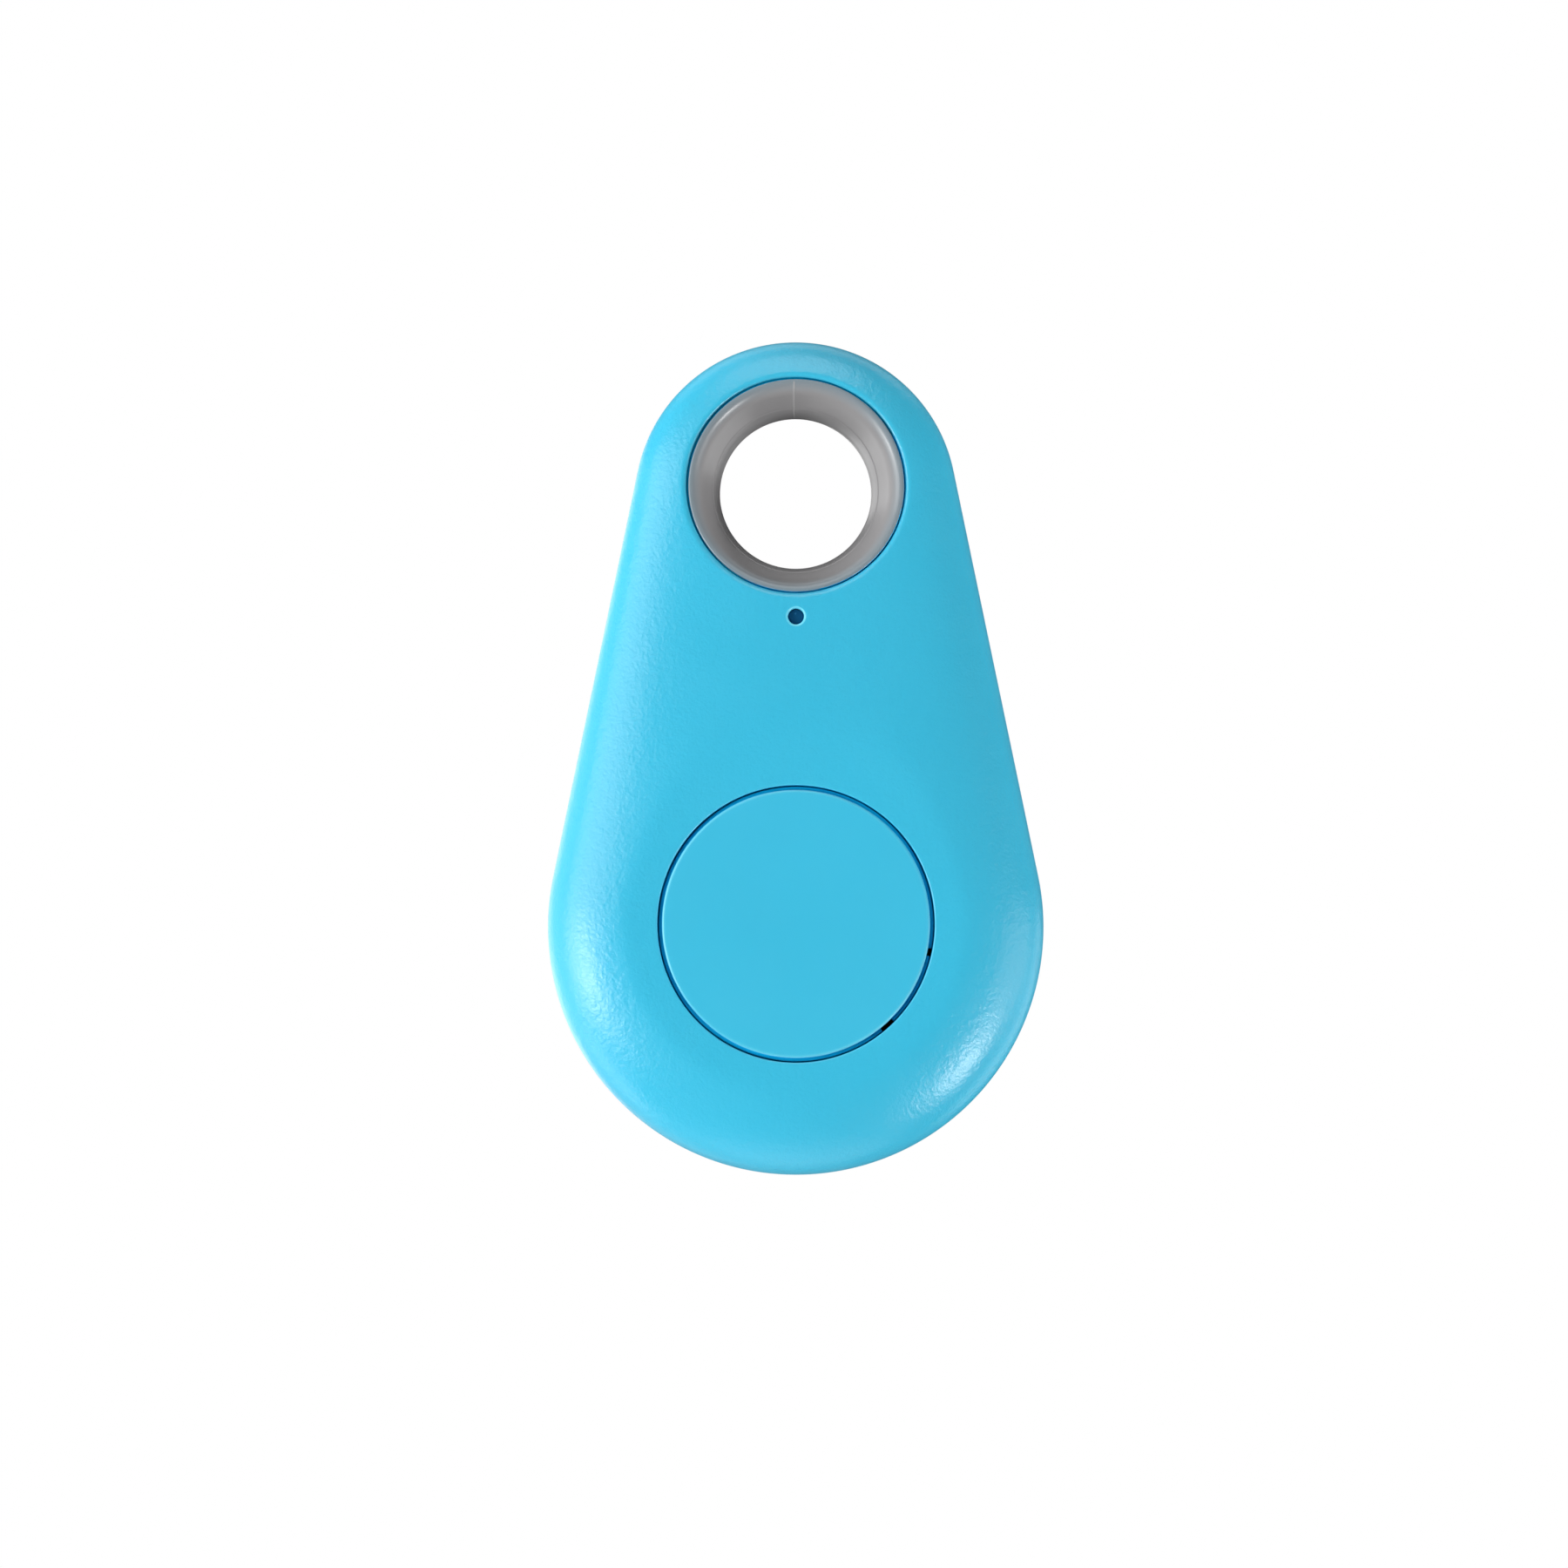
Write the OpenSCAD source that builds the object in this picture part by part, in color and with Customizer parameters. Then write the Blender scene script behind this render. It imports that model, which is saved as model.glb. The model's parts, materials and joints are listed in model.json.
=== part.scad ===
// Teardrop key-finder tag: two shell halves, a liner ring in the key hole, one push
// button, and the circuit board, coin cell and buzzer inside.
// Frame: millimetres, +Z points to the key-hole end, the button faces -Y, +X is to the
// right seen from the button side. The origin is the key-hole axis on the parting plane.

/* [Housing] */
// Overall length from the key-hole end to the button end
tag_l = 52; // [42:0.5:70]
// Overall width across the button end
tag_w = 30.8; // [28:0.1:42]
// Overall thickness at the thickest point
tag_t = 11; // [10.5:0.1:14]
// Thickness at the key-hole end
ring_end_t = 9; // [8:0.1:11]
// Outline radius of the key-hole end
ring_end_r = 10.1; // [9.5:0.1:12]
// How far the key-hole end's outline centre sits below the key-hole axis
ring_end_drop = 0.65; // [0:0.05:1.5]
// Shell wall thickness
wall = 1.2; // [1:0.05:1.6]
// Squareness of the crowned faces: 2 is elliptical, 4 is nearly flat
crown_n = 3; // [2.2:0.1:4]

/* [Key hole] */
// Radius of the opening in both shells
hole_r = 6.75; // [6.2:0.05:7.2]
// Radial gap between the shells and the liner rim
liner_gap = 0.14; // [0.05:0.01:0.3]
// Radius of the liner's neck, the clear hole for a key ring
neck_r = 4.75; // [3.5:0.05:5.2]
// Length of the straight part of the neck
neck_l = 0.5; // [0.4:0.1:2]

/* [Button] */
// Radius of the button face
button_r = 8.2; // [6:0.1:9]
// Radial gap around the button face
button_gap = 0.2; // [0.1:0.05:0.5]
// How far the button goes in
button_travel = 0.3; // [0.2:0.05:0.4]
// Height of the flat face round the button above the parting plane
flat_h = 5.35; // [5:0.05:5.5]

/* [Indicator] */
// Radius of the indicator hole
led_hole_r = 0.49; // [0.3:0.01:1]
// Distance of the indicator hole below the key-hole axis
led_drop = 8.25; // [8:0.05:9]

/* [Electronics] */
// Circuit board thickness
pcb_t = 0.8; // [0.6:0.1:1]
// Coin cell diameter
cell_d = 20; // [16:0.5:20]
// Coin cell thickness
cell_t = 3.2; // [2.5:0.1:3.2]
// Side of the square buzzer
buzzer_w = 8.5; // [7:0.1:8.5]
// Height of the buzzer
buzzer_h = 3; // [2:0.1:3]
// Radius of the sound port in the rear shell
port_r = 0.6; // [0.4:0.05:1]

/* [Hidden] */
$fn = 64;
eps = 0.01;
seam_gap = 0.06;
ring_y = -ring_end_drop;
body_r = tag_w / 2;
body_y = ring_y + ring_end_r - tag_l + body_r;
span_y = ring_y - body_y;
taper = (body_r - ring_end_r) / span_y;

// heights of the front and rear faces above and below the parting plane
ring_h = ring_end_t / 2;
front_h = ring_h + 1.55;
flat_r = 12.8;
cap_proud = 0.05;
rear_h = tag_t - flat_h - cap_proud - seam_gap;
function smooth(u) = let (c = min(1, max(0, u))) c * c * (3 - 2 * c);
function ridge_h(y, big_h, small_h) = big_h + (small_h - big_h) * smooth((y - body_y) / span_y);

// key-hole liner
liner_r = hole_r - liner_gap;
liner_body_r = hole_r + 0.5;
liner_body_l = 4.3;
collar_r = hole_r + 0.8;
collar_gap = 0.05;
liner_cone_r = 5.7;
liner_cone_h = 2.9;
liner_ridge_r = 5.12;
liner_ridge_h = 1.5;
liner_below = 0.12;
liner_rim_edge = 0.1;
liner_foot_r = 5.2;
liner_foot_h = 1.3;
liner_throat_r = 5.9;
liner_throat_h = 2.05;

// lip and groove where the shells meet
lip_in = 0.68;
lip_h = 1;
groove_in = 0.6;
groove_h = 1.1;
notch_w = 4.4;
notch_h = 0.6;
notch_d = 0.5;

// locating pins of the rear shell and stakes of the front shell, right-hand side
pin_r = 0.7;
pin_fit = 0.02;
pin_spots = [[9.6, -16.2], [7.3, -37]];
pin_top = 2;
pin_tip = 0.35;
socket_top = 2.4;
boss_r = 1.45;
boss_in = 0.5;
stake_spots = [[8.6, -13], [-8.6, -13], [0, -39.2]];
stake_r = 0.6;
stake_head_r = 1;
stake_head_h = 0.35;
stake_boss_r = 1.2;

// circuit board
pcb_front = 0.9;
pcb_rear = pcb_front - pcb_t;
pcb_in = 1.6;
pcb_ring_r = liner_body_r + 0.15;
pcb_top_y = -4;
pcb_pin_hole_r = pin_r + 0.3;
copper_t = 0.04;

// button
cap_top = flat_h + cap_proud;
cap_plate = 1;
cap_side = 0.9;
cap_edge = 0.22;
step_r = button_r + button_gap - 0.06;
step_drop = 0.28;
roof_h = flat_h - wall;
flange_r = button_r + 0.9;
flange_top = roof_h - 0.05;
flange_t = 0.8;
flange_notches = [[-12, 0.5], [-48, 0.95]];
post_r = 1.4;
post_gap = 0.03;
cap_rib_t = 0.6;
cap_rib_h = 0.5;

// tact switch
switch_w = 5.2;
switch_floor = 0.25;
switch_base_h = 1.15;
switch_well_r = 1.9;
cover_t = 0.15;
cover_w = 4.6;
plunger_r = 1.2;
plunger_collar_r = 1.6;
plunger_hole_r = 1.3;
plunger_up = button_travel + 0.08;
plunger_bottom = 0.62;
dome_r = 1.7;
dome_h = button_travel + 0.04;
dome_t = 0.06;
lead_w = 0.7;
lead_t = 0.15;
lead_l = 1.1;
lead_spots = [-1.75, 1.75];

// coin cell and contacts
cell_r = cell_d / 2;
contact_t = 0.19;
cell_front = pcb_rear - contact_t - eps;
cell_rear = cell_front - cell_t;
can_t = 0.25;
can_lip = 0.35;
gasket_t = 0.5;
cell_cap_r = cell_r - can_t - gasket_t;
separator_t = 0.05;
anode_t = 0.6;
contact_r = 3.5;
clip_t = 0.2;
clip_w = 5;
clip_gap = 0.15;
clip_foot = 1.9;
clip_slot = [9, 1.6];
clip_tail_w = 3;
clip_tail_h = 1.2;

// buzzer
buzzer_y = -12.2;
buzzer_bore_r = 3.5;
buzzer_seat_r = 3.8;
buzzer_floor = 0.3;
buzzer_seat = 1.95;
buzzer_lid_t = 0.4;
buzzer_hole_r = 0.9;
diaphragm_r = 3.7;
diaphragm_t = 0.08;
pole_r = 0.9;
pole_plate_t = 0.2;
pole_l = 1.5;
coil_r = 2.2;
coil_gap = 0.1;
magnet_in_r = 2.5;
magnet_out_r = 3.35;
magnet_l = 1.35;
pad_l = 0.65;
pad_w = 1.2;
pad_spots = [-3, 3];

// small parts on the front of the board
chip_at = [1, -14.4];
chip_w = 5;
chip_h = 0.8;
chip_lift = 0.05;
chip_pads = 8;
chip_pitch = 0.5;
chip_pad = [0.28, 0.6];
crystal_at = [-4.3, -13.6];
crystal_size = [2.5, 3.2];
crystal_base_h = 0.4;
crystal_lid_h = 0.3;
crystal_step = 0.1;
chip_cap_spots = [
  [-4.3, -16.6, 0], [-1.9, -18.3, 0], [0.5, -18.3, 0],
  [5, -12.4, 90], [5, -14.8, 90], [-2.9, -10.4, 90]
];
chip_res_spots = [[2.9, -18.3, 0], [2.2, -9.4, 90], [3.6, -10.2, 90], [-6.2, -22.5, 90], [6.2, -22.5, 90]];
passive = [1, 0.5, 0.5];
passive_end = 0.25;
led_size = [1.6, 0.8];
led_base_h = 0.3;
led_lens_w = 1;
led_lens_h = 0.35;
pipe_r = led_hole_r - eps;
pipe_below = 0.28;
pipe_gap = 0.05;
pipe_edge = 0.08;
pipe_collar_r = 0.62;
pipe_collar_t = 0.4;
pipe_collar_gap = 0.12;
antenna_x = 6.5;
antenna_y = -5.2;
antenna_run = 2.4;
antenna_pitch = 0.95;
antenna_w = 0.4;
antenna_legs = 6;
antenna_feed = 2.6;
test_pad_r = 0.5;
test_pad_spots = [[-7, -27], [-7, -29], [-7, -31], [7, -27], [7, -29]];
solder_h = 0.18;
solder_r = 0.32;

// colours
shell_blue = [0.27, 0.75, 0.87];
window_blue = [0.06, 0.3, 0.47];
liner_grey = [0.55, 0.55, 0.56];
board_green = [0.05, 0.3, 0.16];
steel = [0.75, 0.75, 0.77];
gold = [0.85, 0.68, 0.3];
copper = [0.75, 0.42, 0.24];
black = [0.07, 0.07, 0.08];
ceramic = [0.72, 0.6, 0.45];
cream = [0.9, 0.87, 0.75];
tin = [0.8, 0.8, 0.8];
dark_grey = [0.25, 0.25, 0.27];

// The parts are drawn lying flat, front face up, and stood up by this.
module upright() {
  rotate([90, 0, 0])
    children();
}

module at_button() {
  translate([0, body_y, 0])
    children();
}

// Crowned half body. Each level is the teardrop of two circles scaled by s, at a
// height that follows a superellipse across the width and the ridge along the length.
arc_small = 14;
arc_side = 8;
arc_big = 20;
levels = 12;
half_n = arc_small + arc_side + arc_big;
ring_n = 2 * half_n;

function right_point(k, s, r1, r2) =
  let (a = asin(s * taper))
  k <= arc_small
    ? let (b = 90 - (90 - a) * k / arc_small) [s * r1 * cos(b), ring_y + s * r1 * sin(b)]
    : k < arc_small + arc_side
      ? let (f = (k - arc_small) / arc_side, r = r1 + (r2 - r1) * f)
        [s * r * cos(a), ring_y - span_y * f + s * r * sin(a)]
      : let (b = a - (90 + a) * (k - arc_small - arc_side) / arc_big)
        [s * r2 * cos(b), body_y + s * r2 * sin(b)];

function ring_point(i, s, r1, r2) =
  i <= half_n
    ? right_point(i, s, r1, r2)
    : let (p = right_point(ring_n - i, s, r1, r2)) [-p[0], p[1]];

// teardrop outline, moved inwards by inset
module teardrop(inset) {
  polygon([for (i = [0:ring_n - 1]) ring_point(i, 1, ring_end_r - inset, body_r - inset)]);
}

module crown(big_h, small_h, inset, skirt) {
  r1 = ring_end_r - inset;
  r2 = body_r - inset;
  top = cos(90 / levels) ^ (2 / crown_n);
  ladder = [for (j = [0:levels - 1])
    let (a = 90 * (1 - j / levels)) [sin(a) ^ (2 / crown_n), cos(a) ^ (2 / crown_n) / top]];
  foot = [for (i = [0:ring_n - 1]) let (p = ring_point(i, 1, r1, r2)) [p[0], p[1], -skirt]];
  body = [for (step = ladder, i = [0:ring_n - 1])
    let (p = ring_point(i, step[0], r1, r2))
    [p[0], p[1], step[1] * ridge_h(p[1], big_h - inset, small_h - inset)]];
  first = skirt > 0 ? 0 : ring_n;
  points = concat(foot, body);
  side = [for (j = [first / ring_n:levels - 1], i = [0:ring_n - 1])
    let (a = j * ring_n + i, b = j * ring_n + (i + 1) % ring_n)
    each [[a, b, b + ring_n], [a, b + ring_n, a + ring_n]]];
  last = levels * ring_n;
  cap = [for (k = [0:half_n - 1])
    let (a = last + k, b = last + k + 1, c = last + ring_n - k - 1, d = last + ring_n - k)
    each k == 0 ? [[a, b, c]] : k == half_n - 1 ? [[a, b, d]] : [[a, b, c], [a, c, d]]];
  base = [[for (i = [0:ring_n - 1]) first + ring_n - 1 - i]];
  polyhedron(points = points, faces = concat(side, cap, base), convexity = 4);
}

// height of the crowned face above the parting plane at a point
function crown_s(x, y) =
  let (a = norm([x, y - ring_y]), b = norm([x, y - body_y]))
  y - ring_y >= a ^ 2 * taper / ring_end_r
    ? a / ring_end_r
    : y - body_y <= b ^ 2 * taper / body_r
      ? b / body_r
      : abs(x) / norm([body_r - (y - body_y) * taper, x * taper]);
function face_h(x, y, big_h) =
  ridge_h(y, big_h, ring_h) * (1 - crown_s(x, y) ^ crown_n) ^ (1 / crown_n);

// the crown is cut flat round the button
module flat_face() {
  at_button()
    translate([0, 0, flat_h])
      cylinder(r = flat_r, h = tag_t);
}

module front_shell() {
  color(shell_blue)
    upright() {
      difference() {
        crown(front_h, ring_h, 0, 0);
        difference() {
          crown(front_h, ring_h, wall, 1);
          at_button()
            translate([0, 0, roof_h])
              cylinder(r = flat_r, h = tag_t);
          translate([0, 0, liner_body_l / 2 + collar_gap])
            cylinder(r = collar_r, h = tag_t);
        }
        flat_face();
        at_button()
          cylinder(r = button_r + button_gap, h = tag_t);
        translate([0, 0, -1])
          cylinder(r = hole_r, h = tag_t);
        translate([0, -led_drop, 1])
          cylinder(r = led_hole_r, h = tag_t);
        translate([0, 0, -1])
          linear_extrude(1 + groove_h)
            teardrop(groove_in);
      }
      difference() {
        intersection() {
          crown(front_h, ring_h, boss_in, 1);
          union() {
            for (p = pin_spots, m = [-1, 1])
              translate([m * p[0], p[1], pcb_front])
                cylinder(r = boss_r, h = tag_t);
            for (p = stake_spots)
              translate([p[0], p[1], pcb_front])
                cylinder(r = stake_boss_r, h = tag_t);
          }
        }
        at_button()
          translate([0, 0, roof_h])
            cylinder(r = flat_r - wall, h = tag_t);
        for (p = pin_spots, m = [-1, 1])
          translate([m * p[0], p[1], -1])
            cylinder(r = pin_r + pin_fit, h = 1 + socket_top);
      }
      for (p = stake_spots)
        translate([p[0], p[1], pcb_rear - eps])
          cylinder(r = stake_r, h = pcb_t + 2 * eps);
      for (p = stake_spots)
        translate([p[0], p[1], pcb_rear - stake_head_h])
          cylinder(r1 = stake_head_r * 0.7, r2 = stake_head_r, h = stake_head_h);
    }
}

module rear_shell() {
  color(shell_blue)
    upright() {
      difference() {
        union() {
          translate([0, 0, -seam_gap])
            mirror([0, 0, 1])
              crown(rear_h, ring_h, 0, 0);
          translate([0, 0, -groove_h])
            linear_extrude(groove_h + lip_h)
              teardrop(lip_in);
        }
        difference() {
          translate([0, 0, -seam_gap])
            mirror([0, 0, 1])
              crown(rear_h, ring_h, wall, 2 * lip_h);
          translate([0, 0, -liner_body_l / 2 - collar_gap - tag_t])
            cylinder(r = collar_r, h = tag_t);
        }
        translate([0, 0, -tag_t])
          cylinder(r = hole_r, h = 2 * tag_t);
        translate([0, buzzer_y, -tag_t])
          cylinder(r = port_r, h = tag_t);
        translate([-notch_w / 2, body_y - body_r - notch_d, -seam_gap - notch_h])
          cube([notch_w, 2 * notch_d, 2 * notch_h]);
      }
      intersection() {
        for (p = pin_spots, m = [-1, 1])
          translate([m * p[0], p[1], -tag_t]) {
            cylinder(r = pin_r, h = tag_t + pin_top - pin_tip);
            translate([0, 0, tag_t + pin_top - pin_tip])
              cylinder(r1 = pin_r, r2 = pin_r / 2, h = pin_tip);
          }
        translate([0, 0, -seam_gap])
          mirror([0, 0, 1])
            crown(rear_h, ring_h, boss_in, 2 * pin_top + 1);
      }
    }
}

// Flared side of the liner with its rounded rim, which follows the crowned face
// around the hole. Its foot is sunk in the liner's turned body.
rim_turns = 48;
rim_steps = 7;
module liner_rim(big_h) {
  top_r = liner_r - liner_rim_edge;
  curve = [for (j = [0:rim_steps]) let (a = 90 * (1 - j / rim_steps))
    [top_r - (top_r - liner_cone_r) * sin(a), cos(a)]];
  outline = concat([[liner_foot_r, -1]], curve, [[liner_r, 1 - liner_rim_edge], [liner_r, -1]]);
  n = len(outline);
  points = [for (i = [0:rim_turns - 1], p = outline)
    let (a = 360 * i / rim_turns, x = top_r * sin(a), y = top_r * cos(a))
    let (rise = face_h(x, y, big_h) - liner_below - liner_cone_h)
    [p[0] * sin(a), p[0] * cos(a), p[1] < 0 ? liner_foot_h : liner_cone_h + rise * p[1]]];
  faces = [for (i = [0:rim_turns - 1], j = [0:n - 1])
    let (a = i * n + j, b = i * n + (j + 1) % n)
    let (c = ((i + 1) % rim_turns) * n + (j + 1) % n, d = ((i + 1) % rim_turns) * n + j)
    each [[a, b, c], [a, c, d]]];
  polyhedron(points = points, faces = faces, convexity = 6);
}

module hole_liner() {
  half = [
    [neck_r, neck_l / 2], [liner_ridge_r, liner_ridge_h], [liner_throat_r, liner_throat_h],
    [liner_throat_r, liner_body_l / 2], [liner_body_r, liner_body_l / 2]
  ];
  low = [for (i = [len(half) - 1:-1:0]) [half[i][0], -half[i][1]]];
  color(liner_grey)
    upright() {
      rotate_extrude()
        polygon(concat(half, low));
      liner_rim(front_h);
      mirror([0, 0, 1])
        liner_rim(rear_h);
    }
}

module button_cap() {
  color(shell_blue)
    upright()
      at_button() {
        difference() {
          rotate_extrude() {
            translate([0, flange_top - flange_t])
              square([button_r, cap_top - cap_edge - flange_top + flange_t]);
            translate([0, cap_top - cap_edge - eps])
              square([button_r - cap_edge, cap_edge + eps]);
            intersection() {
              translate([button_r - cap_edge, cap_top - cap_edge])
                circle(cap_edge);
              translate([button_r - cap_edge - eps, cap_top - cap_edge - eps])
                square(2 * cap_edge);
            }
            translate([0, flange_top - flange_t])
              square([step_r, cap_top - step_drop - flange_top + flange_t]);
            translate([0, flange_top - flange_t])
              square([flange_r, flange_t]);
          }
          translate([0, 0, flange_top - flange_t - 1])
            cylinder(r = button_r - cap_side, h = cap_top - cap_plate - flange_top + flange_t + 1);
          for (s = flange_notches)
            rotate([0, 0, s[0]])
              translate([button_r - eps, -s[1] / 2, flange_top - flange_t - 1])
                cube([2, s[1], cap_top - flange_top + flange_t + 1]);
        }
        translate([0, 0, plunger_top() + post_gap])
          cylinder(r = post_r, h = cap_top - cap_plate / 2 - plunger_top() - post_gap);
        for (a = [0, 90])
          rotate([0, 0, a])
            translate([-button_r + cap_side / 2, -cap_rib_t / 2, cap_top - cap_plate - cap_rib_h])
              cube([2 * button_r - cap_side, cap_rib_t, cap_rib_h + cap_plate / 2]);
      }
}

function switch_top() = pcb_front + switch_base_h + cover_t;
function plunger_top() = switch_top() + plunger_up;

module pcb() {
  color(board_green)
    upright()
      translate([0, 0, pcb_rear])
        linear_extrude(pcb_t)
          difference() {
            teardrop(pcb_in);
            circle(pcb_ring_r);
            translate([-tag_w, pcb_top_y])
              square([2 * tag_w, tag_w]);
            for (p = stake_spots)
              translate(p)
                circle(stake_r + 2 * eps);
            for (p = pin_spots, m = [-1, 1])
              translate([m * p[0], p[1]])
                circle(pcb_pin_hole_r);
          }
}

module antenna_trace() {
  color(copper)
    upright()
      translate([antenna_x, antenna_y, pcb_front])
        linear_extrude(copper_t) {
          for (i = [0:antenna_legs])
            translate([0, -i * antenna_pitch])
              square([antenna_run, antenna_w]);
          for (i = [0:antenna_legs - 1])
            translate([i % 2 == 0 ? antenna_run - antenna_w : 0, -(i + 1) * antenna_pitch])
              square([antenna_w, antenna_pitch + antenna_w]);
          translate([0, -antenna_legs * antenna_pitch - antenna_feed])
            square([antenna_w, antenna_feed + antenna_w]);
        }
}

module test_pads() {
  color(gold)
    upright()
      for (p = test_pad_spots)
        translate([p[0], p[1], pcb_front])
          cylinder(r = test_pad_r, h = copper_t);
}

module solder_bead(p, up) {
  translate([p[0], p[1], up > 0 ? pcb_front : pcb_rear])
    mirror([0, 0, up > 0 ? 0 : 1])
      cylinder(r1 = solder_r, r2 = solder_r / 2, h = solder_h);
}

module solder_joints() {
  color(tin)
    upright() {
      for (m = [-1, 1], y = lead_spots)
        solder_bead([m * (switch_w / 2 + lead_l + solder_r), body_y + y], 1);
      for (m = [-1, 1], y = [-1.4, 1.4])
        solder_bead([m * (cell_r + clip_gap + clip_t + clip_foot + solder_r), body_y + y], -1);
      for (m = [-1, 1], y = pad_spots)
        solder_bead([m * (buzzer_w / 2 + pad_l + solder_r), buzzer_y + y], -1);
    }
}

module ble_chip() {
  color(black)
    upright()
      translate([chip_at[0] - chip_w / 2, chip_at[1] - chip_w / 2, pcb_front + chip_lift])
        cube([chip_w, chip_w, chip_h]);
}

module ble_chip_pads() {
  color(gold)
    upright()
      translate([chip_at[0], chip_at[1], pcb_front]) {
        for (a = [0:90:270], i = [0:chip_pads - 1])
          rotate([0, 0, a])
            translate([
              (i - (chip_pads - 1) / 2) * chip_pitch - chip_pad[0] / 2,
              chip_w / 2 - chip_pad[1] / 2, 0
            ])
              cube([chip_pad[0], chip_pad[1], chip_lift]);
        translate([-chip_w / 3, -chip_w / 3, 0])
          cube([2 * chip_w / 3, 2 * chip_w / 3, chip_lift]);
      }
}

module crystal_base() {
  color(ceramic)
    upright()
      translate([crystal_at[0] - crystal_size[0] / 2, crystal_at[1] - crystal_size[1] / 2, pcb_front])
        cube([crystal_size[0], crystal_size[1], crystal_base_h]);
}

module crystal_lid() {
  color(steel)
    upright()
      translate([
        crystal_at[0] - crystal_size[0] / 2 + crystal_step,
        crystal_at[1] - crystal_size[1] / 2 + crystal_step,
        pcb_front + crystal_base_h
      ])
        cube([crystal_size[0] - 2 * crystal_step, crystal_size[1] - 2 * crystal_step, crystal_lid_h]);
}

module passive_bodies(spots) {
  for (p = spots)
    translate([p[0], p[1], pcb_front])
      rotate([0, 0, p[2]])
        translate([passive_end - passive[0] / 2, -passive[1] / 2, 0])
          cube([passive[0] - 2 * passive_end, passive[1], passive[2]]);
}

module capacitors() {
  color(ceramic)
    upright()
      passive_bodies(chip_cap_spots);
}

module resistors() {
  color(black)
    upright()
      passive_bodies(chip_res_spots);
}

module chip_terminations() {
  color(tin)
    upright()
      for (p = concat(chip_cap_spots, chip_res_spots), e = [0, 1])
        translate([p[0], p[1], pcb_front])
          rotate([0, 0, p[2]])
            translate([-passive[0] / 2 + e * (passive[0] - passive_end), -passive[1] / 2, 0])
              cube([passive_end, passive[1], passive[2]]);
}

module led_base() {
  color(cream)
    upright()
      translate([-led_size[0] / 2, -led_drop - led_size[1] / 2, pcb_front])
        cube([led_size[0], led_size[1], led_base_h]);
}

module led_lens() {
  color(cream)
    upright()
      translate([-led_lens_w / 2, -led_drop - led_size[1] / 2, pcb_front + led_base_h])
        cube([led_lens_w, led_size[1], led_lens_h]);
}

// Window that carries the indicator's light through the front shell.
module light_pipe() {
  face = ridge_h(-led_drop, front_h, ring_h);
  low = pcb_front + led_base_h + led_lens_h + pipe_gap;
  top = face - pipe_below;
  collar_top = face - wall - pipe_collar_gap;
  color(window_blue)
    upright()
      translate([0, -led_drop, 0])
        rotate_extrude()
          polygon([
            [0, low], [pipe_r, low],
            [pipe_r, collar_top - pipe_collar_t], [pipe_collar_r, collar_top - pipe_collar_t],
            [pipe_collar_r, collar_top], [pipe_r, collar_top],
            [pipe_r, top - pipe_edge], [pipe_r - pipe_edge, top], [0, top]
          ]);
}

module tact_switch_base() {
  color(black)
    upright()
      at_button()
        difference() {
          translate([-switch_w / 2, -switch_w / 2, pcb_front])
            cube([switch_w, switch_w, switch_base_h]);
          translate([0, 0, pcb_front + switch_floor])
            cylinder(r = switch_well_r, h = switch_base_h);
          for (m = [-1, 1], y = lead_spots)
            translate([m * switch_w / 2 - lead_w, y - lead_w / 2, pcb_front - lead_t])
              cube([2 * lead_w, lead_w, 2 * lead_t]);
        }
}

module tact_switch_cover() {
  color(steel)
    upright()
      at_button()
        difference() {
          translate([-switch_w / 2 - cover_t, -cover_w / 2, pcb_front + switch_base_h / 2])
            cube([switch_w + 2 * cover_t, cover_w, switch_base_h / 2 + cover_t]);
          translate([-switch_w / 2, -switch_w / 2, pcb_front])
            cube([switch_w, switch_w, switch_base_h]);
          cylinder(r = plunger_hole_r, h = tag_t);
        }
}

module tact_switch_plunger() {
  color(cream)
    upright()
      at_button() {
        translate([0, 0, pcb_front + plunger_bottom])
          cylinder(r = plunger_r, h = plunger_top() - pcb_front - plunger_bottom);
        translate([0, 0, pcb_front + plunger_bottom])
          cylinder(r = plunger_collar_r, h = switch_base_h - plunger_bottom - 2 * eps);
      }
}

// snap dome: a thin shallow cap of two spheres
module tact_switch_dome() {
  big_r = (dome_r ^ 2 + dome_h ^ 2) / (2 * dome_h);
  color(steel)
    upright()
      at_button()
        translate([0, 0, pcb_front + switch_floor])
          intersection() {
            difference() {
              translate([0, 0, dome_h - big_r])
                sphere(big_r);
              translate([0, 0, dome_h - big_r])
                sphere(big_r - dome_t);
            }
            cylinder(r = dome_r, h = dome_h + dome_t);
          }
}

module tact_switch_terminals() {
  color(tin)
    upright()
      at_button()
        for (m = [0, 1], y = lead_spots)
          mirror([m, 0, 0])
            translate([switch_w / 2 - lead_w, y - lead_w / 2, pcb_front])
              cube([lead_l + lead_w, lead_w, lead_t]);
}

module battery_can() {
  color(steel)
    upright()
      at_button()
        difference() {
          translate([0, 0, cell_rear])
            cylinder(r = cell_r, h = cell_t - can_lip);
          translate([0, 0, cell_rear + can_t])
            cylinder(r = cell_r - can_t, h = cell_t);
        }
}

module battery_gasket() {
  color(dark_grey)
    upright()
      at_button()
        translate([0, 0, cell_rear + can_t])
          difference() {
            cylinder(r = cell_r - can_t, h = cell_t - can_lip);
            translate([0, 0, can_t])
              cylinder(r = cell_cap_r, h = cell_t);
            cylinder(r = cell_cap_r - gasket_t, h = cell_t, center = true);
          }
}

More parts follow.
